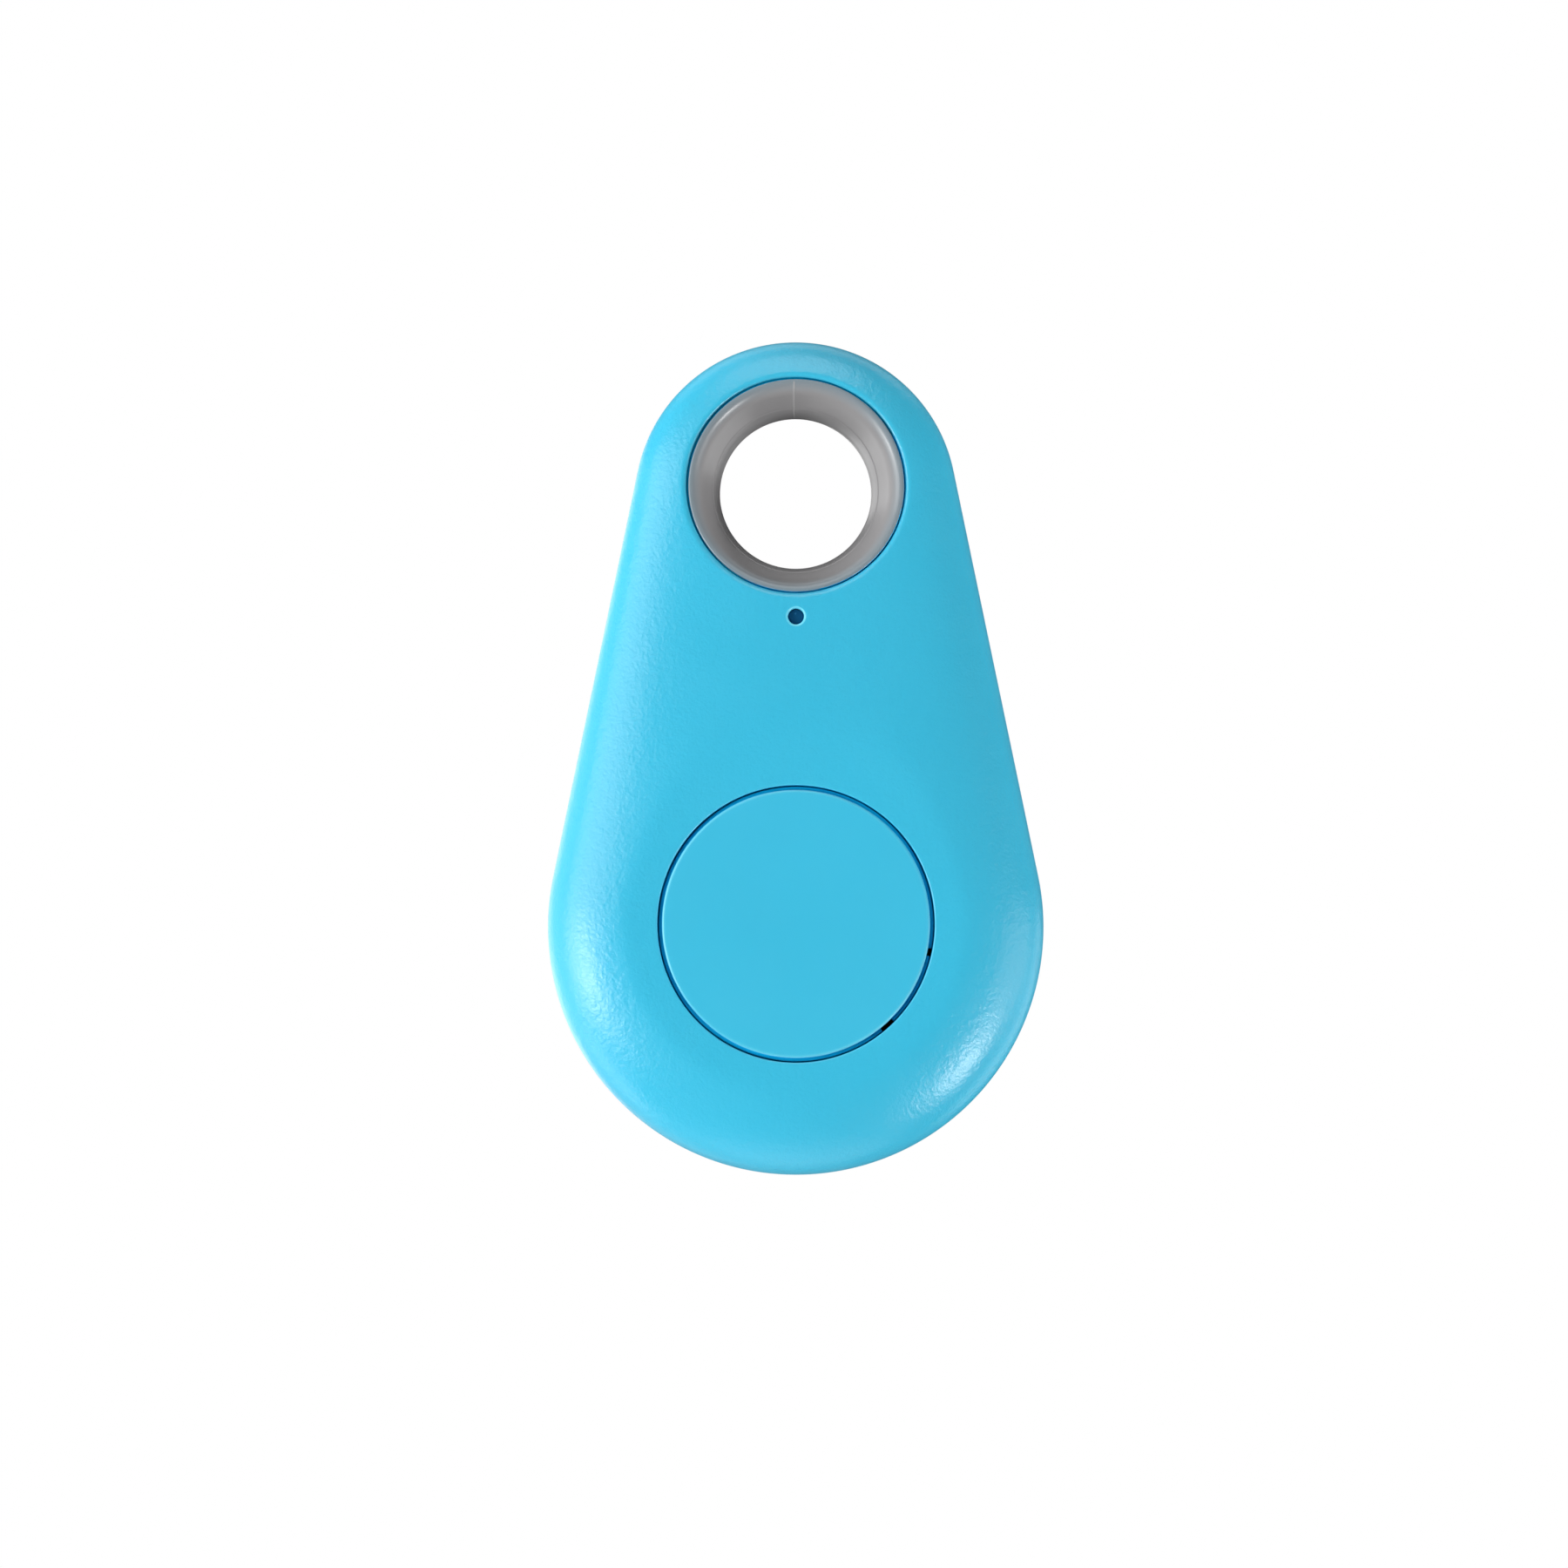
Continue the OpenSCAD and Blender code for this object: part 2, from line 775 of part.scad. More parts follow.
module battery_cap() {
  color(steel)
    upright()
      at_button()
        difference() {
          translate([0, 0, cell_rear + 2 * can_t])
            cylinder(r = cell_cap_r, h = cell_t - 2 * can_t);
          translate([0, 0, cell_rear + can_t])
            cylinder(r = cell_cap_r - can_t, h = cell_t - 2 * can_t);
        }
}

module battery_anode() {
  color(steel)
    upright()
      at_button()
        translate([0, 0, cell_front - can_t - anode_t])
          cylinder(r = cell_cap_r - gasket_t, h = anode_t);
}

module battery_cathode() {
  color(black)
    upright()
      at_button()
        translate([0, 0, cell_rear + can_t])
          cylinder(r = cell_cap_r - gasket_t, h = cell_t - 2 * can_t - anode_t - separator_t);
}

module battery_negative_contact() {
  color(gold)
    upright()
      at_button()
        translate([0, 0, pcb_rear - contact_t])
          cylinder(r = contact_r, h = contact_t);
}

module battery_clip() {
  reach = cell_r + clip_gap + clip_t;
  color(steel)
    upright()
      at_button()
        difference() {
          union() {
            translate([-reach, -clip_w / 2, cell_rear - clip_t])
              cube([2 * reach, clip_w, clip_t]);
            for (m = [0, 1])
              mirror([m, 0, 0]) {
                translate([reach - clip_t, -clip_w / 2, cell_rear - clip_t])
                  cube([clip_t, clip_w, pcb_rear - cell_rear + clip_t]);
                translate([reach - clip_t, -clip_w / 2, pcb_rear - clip_t])
                  cube([clip_foot + clip_t, clip_w, clip_t]);
              }
            translate([-clip_tail_w / 2, -reach, cell_rear - clip_t])
              cube([clip_tail_w, reach, clip_t]);
            translate([-clip_tail_w / 2, -reach, cell_rear - clip_t])
              cube([clip_tail_w, clip_t, clip_tail_h]);
          }
          translate([-clip_slot[0] / 2, -clip_slot[1] / 2, cell_rear - 1])
            cube([clip_slot[0], clip_slot[1], 1 + eps]);
        }
}

module at_buzzer() {
  translate([0, buzzer_y, pcb_rear])
    mirror([0, 0, 1])
      children();
}

module buzzer_case() {
  color(black)
    upright()
      at_buzzer()
        difference() {
          translate([-buzzer_w / 2, -buzzer_w / 2, 0])
            cube([buzzer_w, buzzer_w, buzzer_h - buzzer_lid_t]);
          translate([0, 0, buzzer_floor])
            cylinder(r = buzzer_bore_r, h = buzzer_h);
          translate([0, 0, buzzer_seat])
            cylinder(r = buzzer_seat_r, h = buzzer_h);
        }
}

module buzzer_lid() {
  color(black)
    upright()
      at_buzzer()
        translate([0, 0, buzzer_h - buzzer_lid_t])
          difference() {
            translate([-buzzer_w / 2, -buzzer_w / 2, 0])
              cube([buzzer_w, buzzer_w, buzzer_lid_t]);
            translate([0, 0, -1])
              cylinder(r = buzzer_hole_r, h = 2);
          }
}

module buzzer_diaphragm() {
  color(steel)
    upright()
      at_buzzer() {
        translate([0, 0, buzzer_seat])
          cylinder(r = diaphragm_r, h = diaphragm_t);
        translate([0, 0, buzzer_seat])
          cylinder(r = pole_r, h = 3 * diaphragm_t);
      }
}

module buzzer_pole() {
  color(steel)
    upright()
      at_buzzer()
        translate([0, 0, buzzer_floor]) {
          cylinder(r = magnet_out_r, h = pole_plate_t);
          cylinder(r = pole_r, h = pole_l);
        }
}

module buzzer_coil() {
  color(copper)
    upright()
      at_buzzer()
        translate([0, 0, buzzer_floor + pole_plate_t])
          difference() {
            cylinder(r = coil_r, h = pole_l - 2 * pole_plate_t);
            translate([0, 0, -1])
              cylinder(r = pole_r + coil_gap, h = pole_l + 2);
          }
}

module buzzer_magnet() {
  color(dark_grey)
    upright()
      at_buzzer()
        translate([0, 0, buzzer_floor + pole_plate_t])
          difference() {
            cylinder(r = magnet_out_r, h = magnet_l);
            translate([0, 0, -1])
              cylinder(r = magnet_in_r, h = magnet_l + 2);
          }
}

module buzzer_terminals() {
  color(tin)
    upright()
      at_buzzer()
        for (m = [0, 1], y = pad_spots)
          mirror([m, 0, 0])
            translate([buzzer_w / 2, y - pad_w / 2, 0])
              cube([pad_l, pad_w, lead_t]);
}

front_shell();
rear_shell();
hole_liner();
button_cap();
pcb();
antenna_trace();
test_pads();
solder_joints();
ble_chip();
ble_chip_pads();
crystal_base();
crystal_lid();
capacitors();
resistors();
chip_terminations();
led_base();
led_lens();
light_pipe();
tact_switch_base();
tact_switch_cover();
tact_switch_plunger();
tact_switch_dome();
tact_switch_terminals();
battery_can();
battery_cap();
battery_gasket();
battery_anode();
battery_cathode();
battery_clip();
battery_negative_contact();
buzzer_case();
buzzer_lid();
buzzer_diaphragm();
buzzer_magnet();
buzzer_coil();
buzzer_pole();
buzzer_terminals();
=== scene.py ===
import math

import bmesh
import bpy
import numpy as np
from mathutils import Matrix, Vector
from mathutils.geometry import delaunay_2d_cdt
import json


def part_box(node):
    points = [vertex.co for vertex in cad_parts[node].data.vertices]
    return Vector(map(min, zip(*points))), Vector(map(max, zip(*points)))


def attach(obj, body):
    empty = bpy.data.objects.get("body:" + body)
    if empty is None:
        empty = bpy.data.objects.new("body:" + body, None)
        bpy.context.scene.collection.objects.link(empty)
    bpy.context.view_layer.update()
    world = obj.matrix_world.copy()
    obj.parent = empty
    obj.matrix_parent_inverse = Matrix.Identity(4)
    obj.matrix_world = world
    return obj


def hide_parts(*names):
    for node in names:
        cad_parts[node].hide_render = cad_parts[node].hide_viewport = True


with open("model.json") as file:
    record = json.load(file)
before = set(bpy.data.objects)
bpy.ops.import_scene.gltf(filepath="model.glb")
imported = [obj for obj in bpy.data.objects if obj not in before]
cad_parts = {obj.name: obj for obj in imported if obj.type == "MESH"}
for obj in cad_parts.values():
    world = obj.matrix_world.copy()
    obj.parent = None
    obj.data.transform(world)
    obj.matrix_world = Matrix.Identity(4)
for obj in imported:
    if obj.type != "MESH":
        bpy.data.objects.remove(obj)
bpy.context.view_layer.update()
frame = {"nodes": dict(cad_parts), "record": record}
nodes = frame["nodes"]

MM = 0.001
TURN = 2 * math.pi

# ---------------------------------------------------------------- dimensions, mm
# Flat frame: x across, y along the tag towards the key hole, w out of the front face.
# The key hole's centre is at x 0, y 0, and the parting plane at w 0.

# outline: key-hole arc and button arc, joined by straight sides
RING_Y, RING_R = -0.65, 10.1
BODY_Y, BODY_R = -27.15, 15.4
SPAN = RING_Y - BODY_Y
TAPER = (BODY_R - RING_R) / SPAN
# points round one half of it: key-hole arc, straight side, button arc
ARC_TOP, ARC_SIDE, ARC_LOW = 44, 80, 86

# shells: superellipse crowns over a ridge that is lower at the key-hole end; inside the
# shoulder, at this scale of the outline, a grid takes over from the loops of the side
CROWN_N = 3.0
SEAM, SEAM_EDGE = 0.06, 0.14
RING_H, FRONT_H = 4.5, 6.05
REAR_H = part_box("rear_shell")[1].y / MM - SEAM
SHOULDER = 0.86
SHOULDER_H = (1 - SHOULDER**CROWN_N) ** (1 / CROWN_N)
WALL = 1.2
ROOF_H = 4.15
# the flat round the button is at FLAT_H outside and ROOF_H inside, and ends well within FLAT_R
FLAT_H, FLAT_R, FLAT_BLEND = 5.35, 12.8, 0.2
GROOVE_IN, GROOVE_H = 0.6, 1.1
LIP_IN, LIP_H, LIP_CHAMFER, LIP_CHAMFER_H = 0.68, 1.0, 0.1, 0.12
COLLAR_R, COLLAR_W = 7.55, 2.2
# height over the lip's foot at which the rear shell's inside skin starts to curve
FLOOR_START = 0.2
# pry notch in the bottom edge: half width, depth, straight part and corner cut, and how far
# the cutter reaches below and above the rear shell's rim
PRY_X, PRY_DEEP, PRY_STRAIGHT, PRY_CORNER = 2.2, 0.5, 0.34, 0.16
PRY_LOW, PRY_HIGH = 0.6, 0.4

# openings, and the radius of the rounding round each; the sound port has the LED hole's
HOLE_R, HOLE_EDGE = 6.75, 0.4
BUTTON_HOLE_R, BUTTON_HOLE_EDGE = 8.46, 0.1
LED_Y, LED_HOLE_R, LED_EDGE, LED_RIM_R = -8.25, 0.49, 0.14, 0.64
PORT_Y, PORT_R = -12.2, 0.6

# bosses, pins and stakes; ROOT is how far a boss sinks into the wall it stands on
ROOT = 0.3
PCB_FRONT, PCB_REAR = 0.9, 0.1
PINS = [(m * x, y) for x, y in ((9.6, -16.2), (7.3, -37.0)) for m in (-1, 1)]
PIN_R, PIN_TOP, PIN_TIP, PIN_ROUND = 0.7, 2.0, 0.35, 0.12
# radius beyond the pin's and height above the floor; share of the pin's radius at its tip
PIN_FOOT = ((0.25, 0), (0.2, 0.5), (0, 0.8))
PIN_SHOULDER_R, PIN_END_R = 0.8 * PIN_R, 0.5 * PIN_R
SOCKET_R, SOCKET_TOP, SOCKET_CHAMFER = 0.72, 2.4, 0.1
BOSS_R, BOSS_CHAMFER, BOSS_DRAFT = 1.45, 0.08, 0.05
STAKES = [(8.6, -13.0), (-8.6, -13.0), (0.0, -39.2)]
STAKE_R, STAKE_HEAD_R, STAKE_HEAD_H, STAKE_BOSS_R = 0.6, 1.0, 0.35, 1.2
STAKE_DOME = ((0.5, 0.01), (0.8, 0.07), (0.95, 0.18))
BOSS_N, PIN_N, POST_N = 40, 36, 48

# button: cap, step, flange with two notches (degrees from +x, width), plate, post and ribs
BUTTON_R, BUTTON_EDGE = 8.18, 0.15
CAP_TOP = 5.4
STEP_R, STEP_W, STEP_CHAMFER, STEP_LAND = 8.38, 5.08, 0.03, 0.4
FLANGE_TOP, FLANGE_T, FLANGE_R, FLANGE_CHAMFER = 4.1, 0.8, 9.1, 0.08
NOTCHES, NOTCH_R, NOTCH_FLOOR = ((-12, 0.5), (-48, 0.95)), 8.6, BUTTON_R - 0.02
PLATE_W, PLATE_R, PLATE_FILLET = CAP_TOP - 1.0, 7.3, 0.15
POST_R, POST_W, POST_CHAMFER, POST_SINK = 1.4, 2.61, 0.1, 0.1
POST_FILLET, POST_FILLET_H = 0.2, 0.25
RIB_L, RIB_T, RIB_DROP, RIB_H = 7.75, 0.3, 0.5, 0.6
CAP_RINGS, CAP_EDGE_GAP = (0.4, 1.5, 3, 4.5, 6, 7, 7.6), 0.08
# columns round it, and degrees: how clear the even columns keep of a notch's end, and how far
# the two columns at each end stand from it
BUTTON_TURNS, NOTCH_CLEAR, NOTCH_SPLIT = 288, 0.3, 0.05

# liner: half profile (radius, w) from the middle of the neck up the funnel, and the outside
NECK_R = 4.75
NECK = [(NECK_R, 0), (NECK_R, 0.17), (NECK_R + 0.012, 0.22), (NECK_R + 0.035, 0.27)]
FUNNEL = [(4.88, 0.7), (4.98, 1.05), (5.11, 1.46), (5.13, 1.51), (5.17, 1.55)]
FUNNEL += [(5.195, 1.61), (5.33, 1.98), (5.52, 2.43), (5.7, 2.9)]
LINER_R, LINER_EDGE, LINER_RIM_DROP = 6.67, 0.1, 0.12
# the curve from the funnel to the rim: its handles as shares of the rise, and in from the rim
RIM_STEPS, RIM_OUT, RIM_UP, RIM_IN = 20, 0.2, 0.53, 0.4
LINER_SEAT_R, LINER_SEAT_DROP = 6.735, 0.3
LINER_OUTSIDE = [(LINER_SEAT_R, 2.15), (7.17, 2.15), (7.25, 2.07), (7.25, 0)]
# how far the rim sits off the middle of its hole, towards lower right
LINER_PLAY = 0.035
LINER_TURNS = 288
# fine parting line up the top of the funnel: turn, half width (radians) and height
FLASH_TURN, FLASH_WIDTH, FLASH_H = -0.018, 0.006, 0.02

# mesh detail: points round each opening, grid spacings, levels up the side, rings of points
RING_N, BUTTON_N, LED_N, PORT_N = 216, 264, 48, 56
SPACING, ROOF_SPACING, FLOOR_SPACING = 0.34, 0.6, 0.5
SIDE_LEVELS = np.linspace(0.05, SHOULDER_H, 26)
HOLE_RINGS = [(0, 0, HOLE_R + HOLE_EDGE + 0.2)]
LED_RINGS = [(0, LED_Y, r) for r in (LED_RIM_R, 0.78, 0.95, 1.2)]
PORT_RINGS = [(0, PORT_Y, r) for r in (0.9, 1.1, 1.4)]
FLAT_RINGS = [(0, BODY_Y, r) for r in np.arange(8.85, 13.0, 0.2)]
ROOF_RINGS = [(0, BODY_Y, r) for r in np.arange(9.6, FLAT_R, 0.4)]
# a grid row's height as a share of its spacing, and the least height of a kept triangle
ROW, SLIVER = 0.866, 0.001
# edges sharper than this many degrees are not shaded smooth
SHARP, LINER_SHARP = 32.0, 50
# vertices closer than MERGE and edges shorter than TINY are merged, metres
MERGE, TINY = 6e-7, 1e-8


# ---------------------------------------------------------------- surfaces of the shells


def outline_parameters():
    kinds, parts, sides = [], [], []
    half = ARC_TOP + ARC_SIDE + ARC_LOW
    for i in range(2 * half):
        k, side = (i, 1) if i <= half else (2 * half - i, -1)
        if k <= ARC_TOP:
            kind, part = 0, k / ARC_TOP
        elif k < ARC_TOP + ARC_SIDE:
            kind, part = 1, (k - ARC_TOP) / ARC_SIDE
        else:
            kind, part = 2, (k - ARC_TOP - ARC_SIDE) / ARC_LOW
        kinds.append(kind)
        parts.append(part)
        sides.append(side)
    return np.array(kinds), np.array(parts), np.array(sides)


KIND, PART, SIDE = outline_parameters()


def outline(s=1.0, inset=0.0):
    """Teardrop of the two outline circles scaled by s, each smaller by inset."""
    r1, r2 = RING_R - inset, BODY_R - inset
    s = np.broadcast_to(np.asarray(s, float), KIND.shape)
    lean = np.arcsin(s * TAPER)
    top = math.pi / 2 - (math.pi / 2 - lean) * PART
    low = lean - (math.pi / 2 + lean) * PART
    mid = r1 + (r2 - r1) * PART
    x = np.choose(KIND, [s * r1 * np.cos(top), s * mid * np.cos(lean), s * r2 * np.cos(low)])
    y = np.choose(
        KIND,
        [
            RING_Y + s * r1 * np.sin(top),
            RING_Y - SPAN * PART + s * mid * np.sin(lean),
            BODY_Y + s * r2 * np.sin(low),
        ],
    )
    return np.stack([x * SIDE, y], 1)


def ridge(y, big, inset=0.0):
    """Crown height along the middle line: big at the button, RING_H at the key hole."""
    u = np.clip((np.asarray(y, float) - BODY_Y) / SPAN, 0, 1)
    return (big - inset) + (RING_H - big) * u * u * (3 - 2 * u)


def crown_s(x, y, inset=0.0):
    """Scale of the outline that passes through a point: 0 on the middle line, 1 at the edge."""
    r1, r2 = RING_R - inset, BODY_R - inset
    a, b = np.hypot(x, y - RING_Y), np.hypot(x, y - BODY_Y)
    side = np.abs(x) / np.hypot(r2 - (y - BODY_Y) * TAPER, x * TAPER)
    lower = np.where(y - BODY_Y <= b * b * TAPER / r2, b / r2, side)
    return np.where(y - RING_Y >= a * a * TAPER / r1, a / r1, lower)


def face_w(x, y, big, inset=0.0):
    s = np.clip(crown_s(x, y, inset), 0, 1)
    return ridge(y, big, inset) * (1 - s**CROWN_N) ** (1 / CROWN_N)


def soft_min(a, b, k):
    h = np.maximum(k - np.abs(a - b), 0) / k
    return np.minimum(a, b) - h * h * h * k / 6


def front_w(x, y):
    """Front face: the crown, cut flat round the button with a soft shoulder."""
    crown = face_w(x, y, FRONT_H)
    flat = soft_min(crown, FLAT_H, FLAT_BLEND)
    return np.where(np.hypot(x, y - BODY_Y) < FLAT_R + 1, flat, crown)


def front_inner_w(x, y):
    skin = face_w(x, y, FRONT_H, WALL)
    return np.where(np.hypot(x, y - BODY_Y) < FLAT_R - 0.02, np.minimum(skin, ROOF_H), skin)


def rear_w(x, y):
    return face_w(x, y, REAR_H)


def rear_inner_w(x, y):
    return face_w(x, y, REAR_H, WALL)


def at_height(xy, w):
    return np.column_stack([xy, np.broadcast_to(w, len(xy))])


def on_surface(xy, surface, above=0.0):
    return at_height(xy, surface(xy[:, 0], xy[:, 1]) + above)


def crown_loop(h, big, inset=0.0):
    """Outline loop at share h of the ridge height."""
    h = np.asarray(h, float)
    xy = outline((1 - h**CROWN_N) ** (1 / CROWN_N), inset)
    return at_height(xy, h * ridge(xy[:, 1], big, inset))


def circle(cx, cy, r, n):
    a = np.arange(n) * 2 * math.pi / n
    return np.column_stack([cx + r * np.sin(a), cy + r * np.cos(a)])


# ---------------------------------------------------------------- mesh building


def shade(mesh, sharp):
    mesh.shade_smooth()
    mesh.set_sharp_from_angle(angle=math.radians(sharp))


def new_object(name, data):
    obj = bpy.data.objects.new(name, data)
    bpy.context.scene.collection.objects.link(obj)
    return obj


class Moulding:
    """Gathers loops and triangles in the flat frame and makes one mesh object."""

    def __init__(self):
        self.points, self.faces, self.count = [], [], 0

    def add(self, pts):
        pts = np.asarray(pts, float)
        self.points.append(pts)
        first = self.count
        self.count += len(pts)
        return np.arange(first, self.count)

    def strip(self, loops):
        ids = [self.add(p) for p in loops]
        for a, b in zip(ids, ids[1:], strict=False):
            an, bn = np.roll(a, -1), np.roll(b, -1)
            self.faces += np.stack([a, an, bn, b], 1).tolist()

    def triangles(self, pts, faces):
        ids = self.add(pts)
        self.faces += ids[np.asarray(faces)].tolist()

    def fan(self, loop, centre):
        ids, c = self.add(loop), int(self.add([centre])[0])
        self.faces += [[int(a), int(b), c] for a, b in zip(ids, np.roll(ids, -1), strict=True)]

    def lathe(self, cx, cy, profile, n):
        """Turned solid: profile is (radius, w) from axis to axis; radius 0 closes it."""
        loops = [at_height(circle(cx, cy, r, n), w) for r, w in profile if r > 0]
        self.strip(loops)
        if profile[0][0] == 0:
            self.fan(loops[0], (cx, cy, profile[0][1]))
        if profile[-1][0] == 0:
            self.fan(loops[-1], (cx, cy, profile[-1][1]))

    def mesh(self, name, sharp=SHARP):
        p = np.vstack(self.points)
        stood = np.column_stack([p[:, 0], -p[:, 2], p[:, 1]]) * MM
        mesh = bpy.data.meshes.new(name)
        mesh.from_pydata(stood.tolist(), [], self.faces)
        bm = bmesh.new()
        bm.from_mesh(mesh)
        bmesh.ops.remove_doubles(bm, verts=bm.verts, dist=MERGE)
        bmesh.ops.dissolve_degenerate(bm, edges=bm.edges, dist=TINY)
        bmesh.ops.recalc_face_normals(bm, faces=bm.faces)
        bm.to_mesh(mesh)
        bm.free()
        shade(mesh, sharp)
        return new_object(name, mesh)


def grid_points(low, high, spacing):
    """Triangular grid over the box from low to high."""
    rows = []
    for i, y in enumerate(np.arange(low[1], high[1], spacing * ROW)):
        x = np.arange(low[0] + (i % 2) * spacing / 2, high[0], spacing)
        rows.append(np.column_stack([x, np.full(len(x), y)]))
    return np.vstack(rows)


def fill(border, keep, holes, rings, spacing):
    """Triangulates the area inside the border loop and outside the hole loops.

    keep(x, y) is true where a loose point may go, holes are (cx, cy, r, n), and rings
    are extra circles of points (cx, cy, r)."""
    loops = [border] + [circle(*h) for h in holes]
    fixed = np.vstack(loops)
    edges, first = [], len(border)
    for loop in loops[1:]:
        ids = np.arange(first, first + len(loop))
        edges += np.stack([ids, np.roll(ids, -1)], 1).tolist()
        first += len(loop)
    loose = [circle(cx, cy, r, max(24, int(2 * math.pi * r / spacing))) for cx, cy, r in rings]
    grid = grid_points(border.min(0), border.max(0), spacing)
    # grid points keep clear of the rings, and all loose points of the holes
    for cx, cy, r in rings:
        grid = grid[np.abs(np.hypot(grid[:, 0] - cx, grid[:, 1] - cy) - r) > spacing * 0.5]
    loose = np.vstack([*loose, grid])
    loose = loose[keep(loose[:, 0], loose[:, 1])]
    for cx, cy, r, _ in holes:
        loose = loose[np.hypot(loose[:, 0] - cx, loose[:, 1] - cy) > r + spacing * 0.4]
    pts = np.vstack([fixed, loose])
    area = [list(range(len(border)))]
    out = delaunay_2d_cdt([Vector(p) for p in pts.tolist()], edges, area, 1, 1e-7, False)
    xy = np.array([tuple(v) for v in out[0]])
    tri = np.array([f for f in out[2] if len(f) == 3])
    # slivers and the triangles inside the holes are dropped
    mid = xy[tri].mean(1)
    a, b = xy[tri[:, 1]] - xy[tri[:, 0]], xy[tri[:, 2]] - xy[tri[:, 0]]
    longest = np.max([np.hypot(*v.T) for v in (a, b, b - a)], axis=0)
    ok = np.abs(a[:, 0] * b[:, 1] - a[:, 1] * b[:, 0]) > SLIVER * longest
    for cx, cy, r, _ in holes:
        ok &= np.hypot(mid[:, 0] - cx, mid[:, 1] - cy) > r
    return xy, tri[ok]


def quarter(steps):
    """Angles from 0 to a quarter turn, for a rounded edge."""
    return [math.pi / 2 * k / steps for k in range(steps + 1)]


def edge_rows(cx, cy, r, radius, n, surface, steps=7):
    """Rounded edge from a face down into a hole of radius r: the first loop is on the face."""
    rows = []
    for b in quarter(steps):
        xy = circle(cx, cy, r + radius * (1 - math.sin(b)), n)
        rows.append(on_surface(xy, surface, -radius * (1 - math.cos(b))))
    return rows


def seam_rows(steps=5):
    """Rounded edge from the flat rim at w 0 out to the side wall."""
    rows = []
    for a in quarter(steps):
        xy = outline(1.0, SEAM_EDGE * (1 - math.sin(a)))
        rows.append(at_height(xy, SEAM_EDGE * (1 - math.cos(a))))
    return rows


def inner_rows(start_w, big, count=10):
    """Inside skin from a loop at height start_w up to the shoulder."""
    base = outline(1.0, WALL)
    h0 = start_w / ridge(base[:, 1], big, WALL)
    return [crown_loop(h0 + (SHOULDER_H - h0) * k / count, big, WALL) for k in range(count + 1)]


def inside(inset=0.0, margin=0.012):
    return lambda x, y: crown_s(x, y, inset) < SHOULDER - margin


def outer_skin(m, big, surface, holes, rings):
    """Face of a shell inside its shoulder."""
    border = crown_loop(SHOULDER_H, big)
    xy, tri = fill(border[:, :2], inside(), holes, rings, SPACING)
    m.triangles(on_surface(xy, surface), tri)


def inner_skin(m, border, surface, holes, rings, spacing):
    """Inside face of a shell within its last inner row."""
    xy, tri = fill(border[:, :2], inside(WALL), holes, rings, spacing)
    m.triangles(on_surface(xy, surface), tri)


def hole_collar(m, surface, inner_surface, foot):
    """Rounded key hole, and the collar round it that ends at height foot."""
    collar = circle(0, 0, COLLAR_R, RING_N)
    m.strip(
        edge_rows(0, 0, HOLE_R, HOLE_EDGE, RING_N, surface)
        + [
            at_height(circle(0, 0, HOLE_R, RING_N), foot),
            at_height(collar, foot),
            on_surface(collar, inner_surface),
        ]
    )


def small_hole(m, cy, r, n, surface, inner_surface):
    m.strip(
        edge_rows(0, cy, r, LED_EDGE, n, surface) + [on_surface(circle(0, cy, r, n), inner_surface)]
    )


# ---------------------------------------------------------------- stand-ins


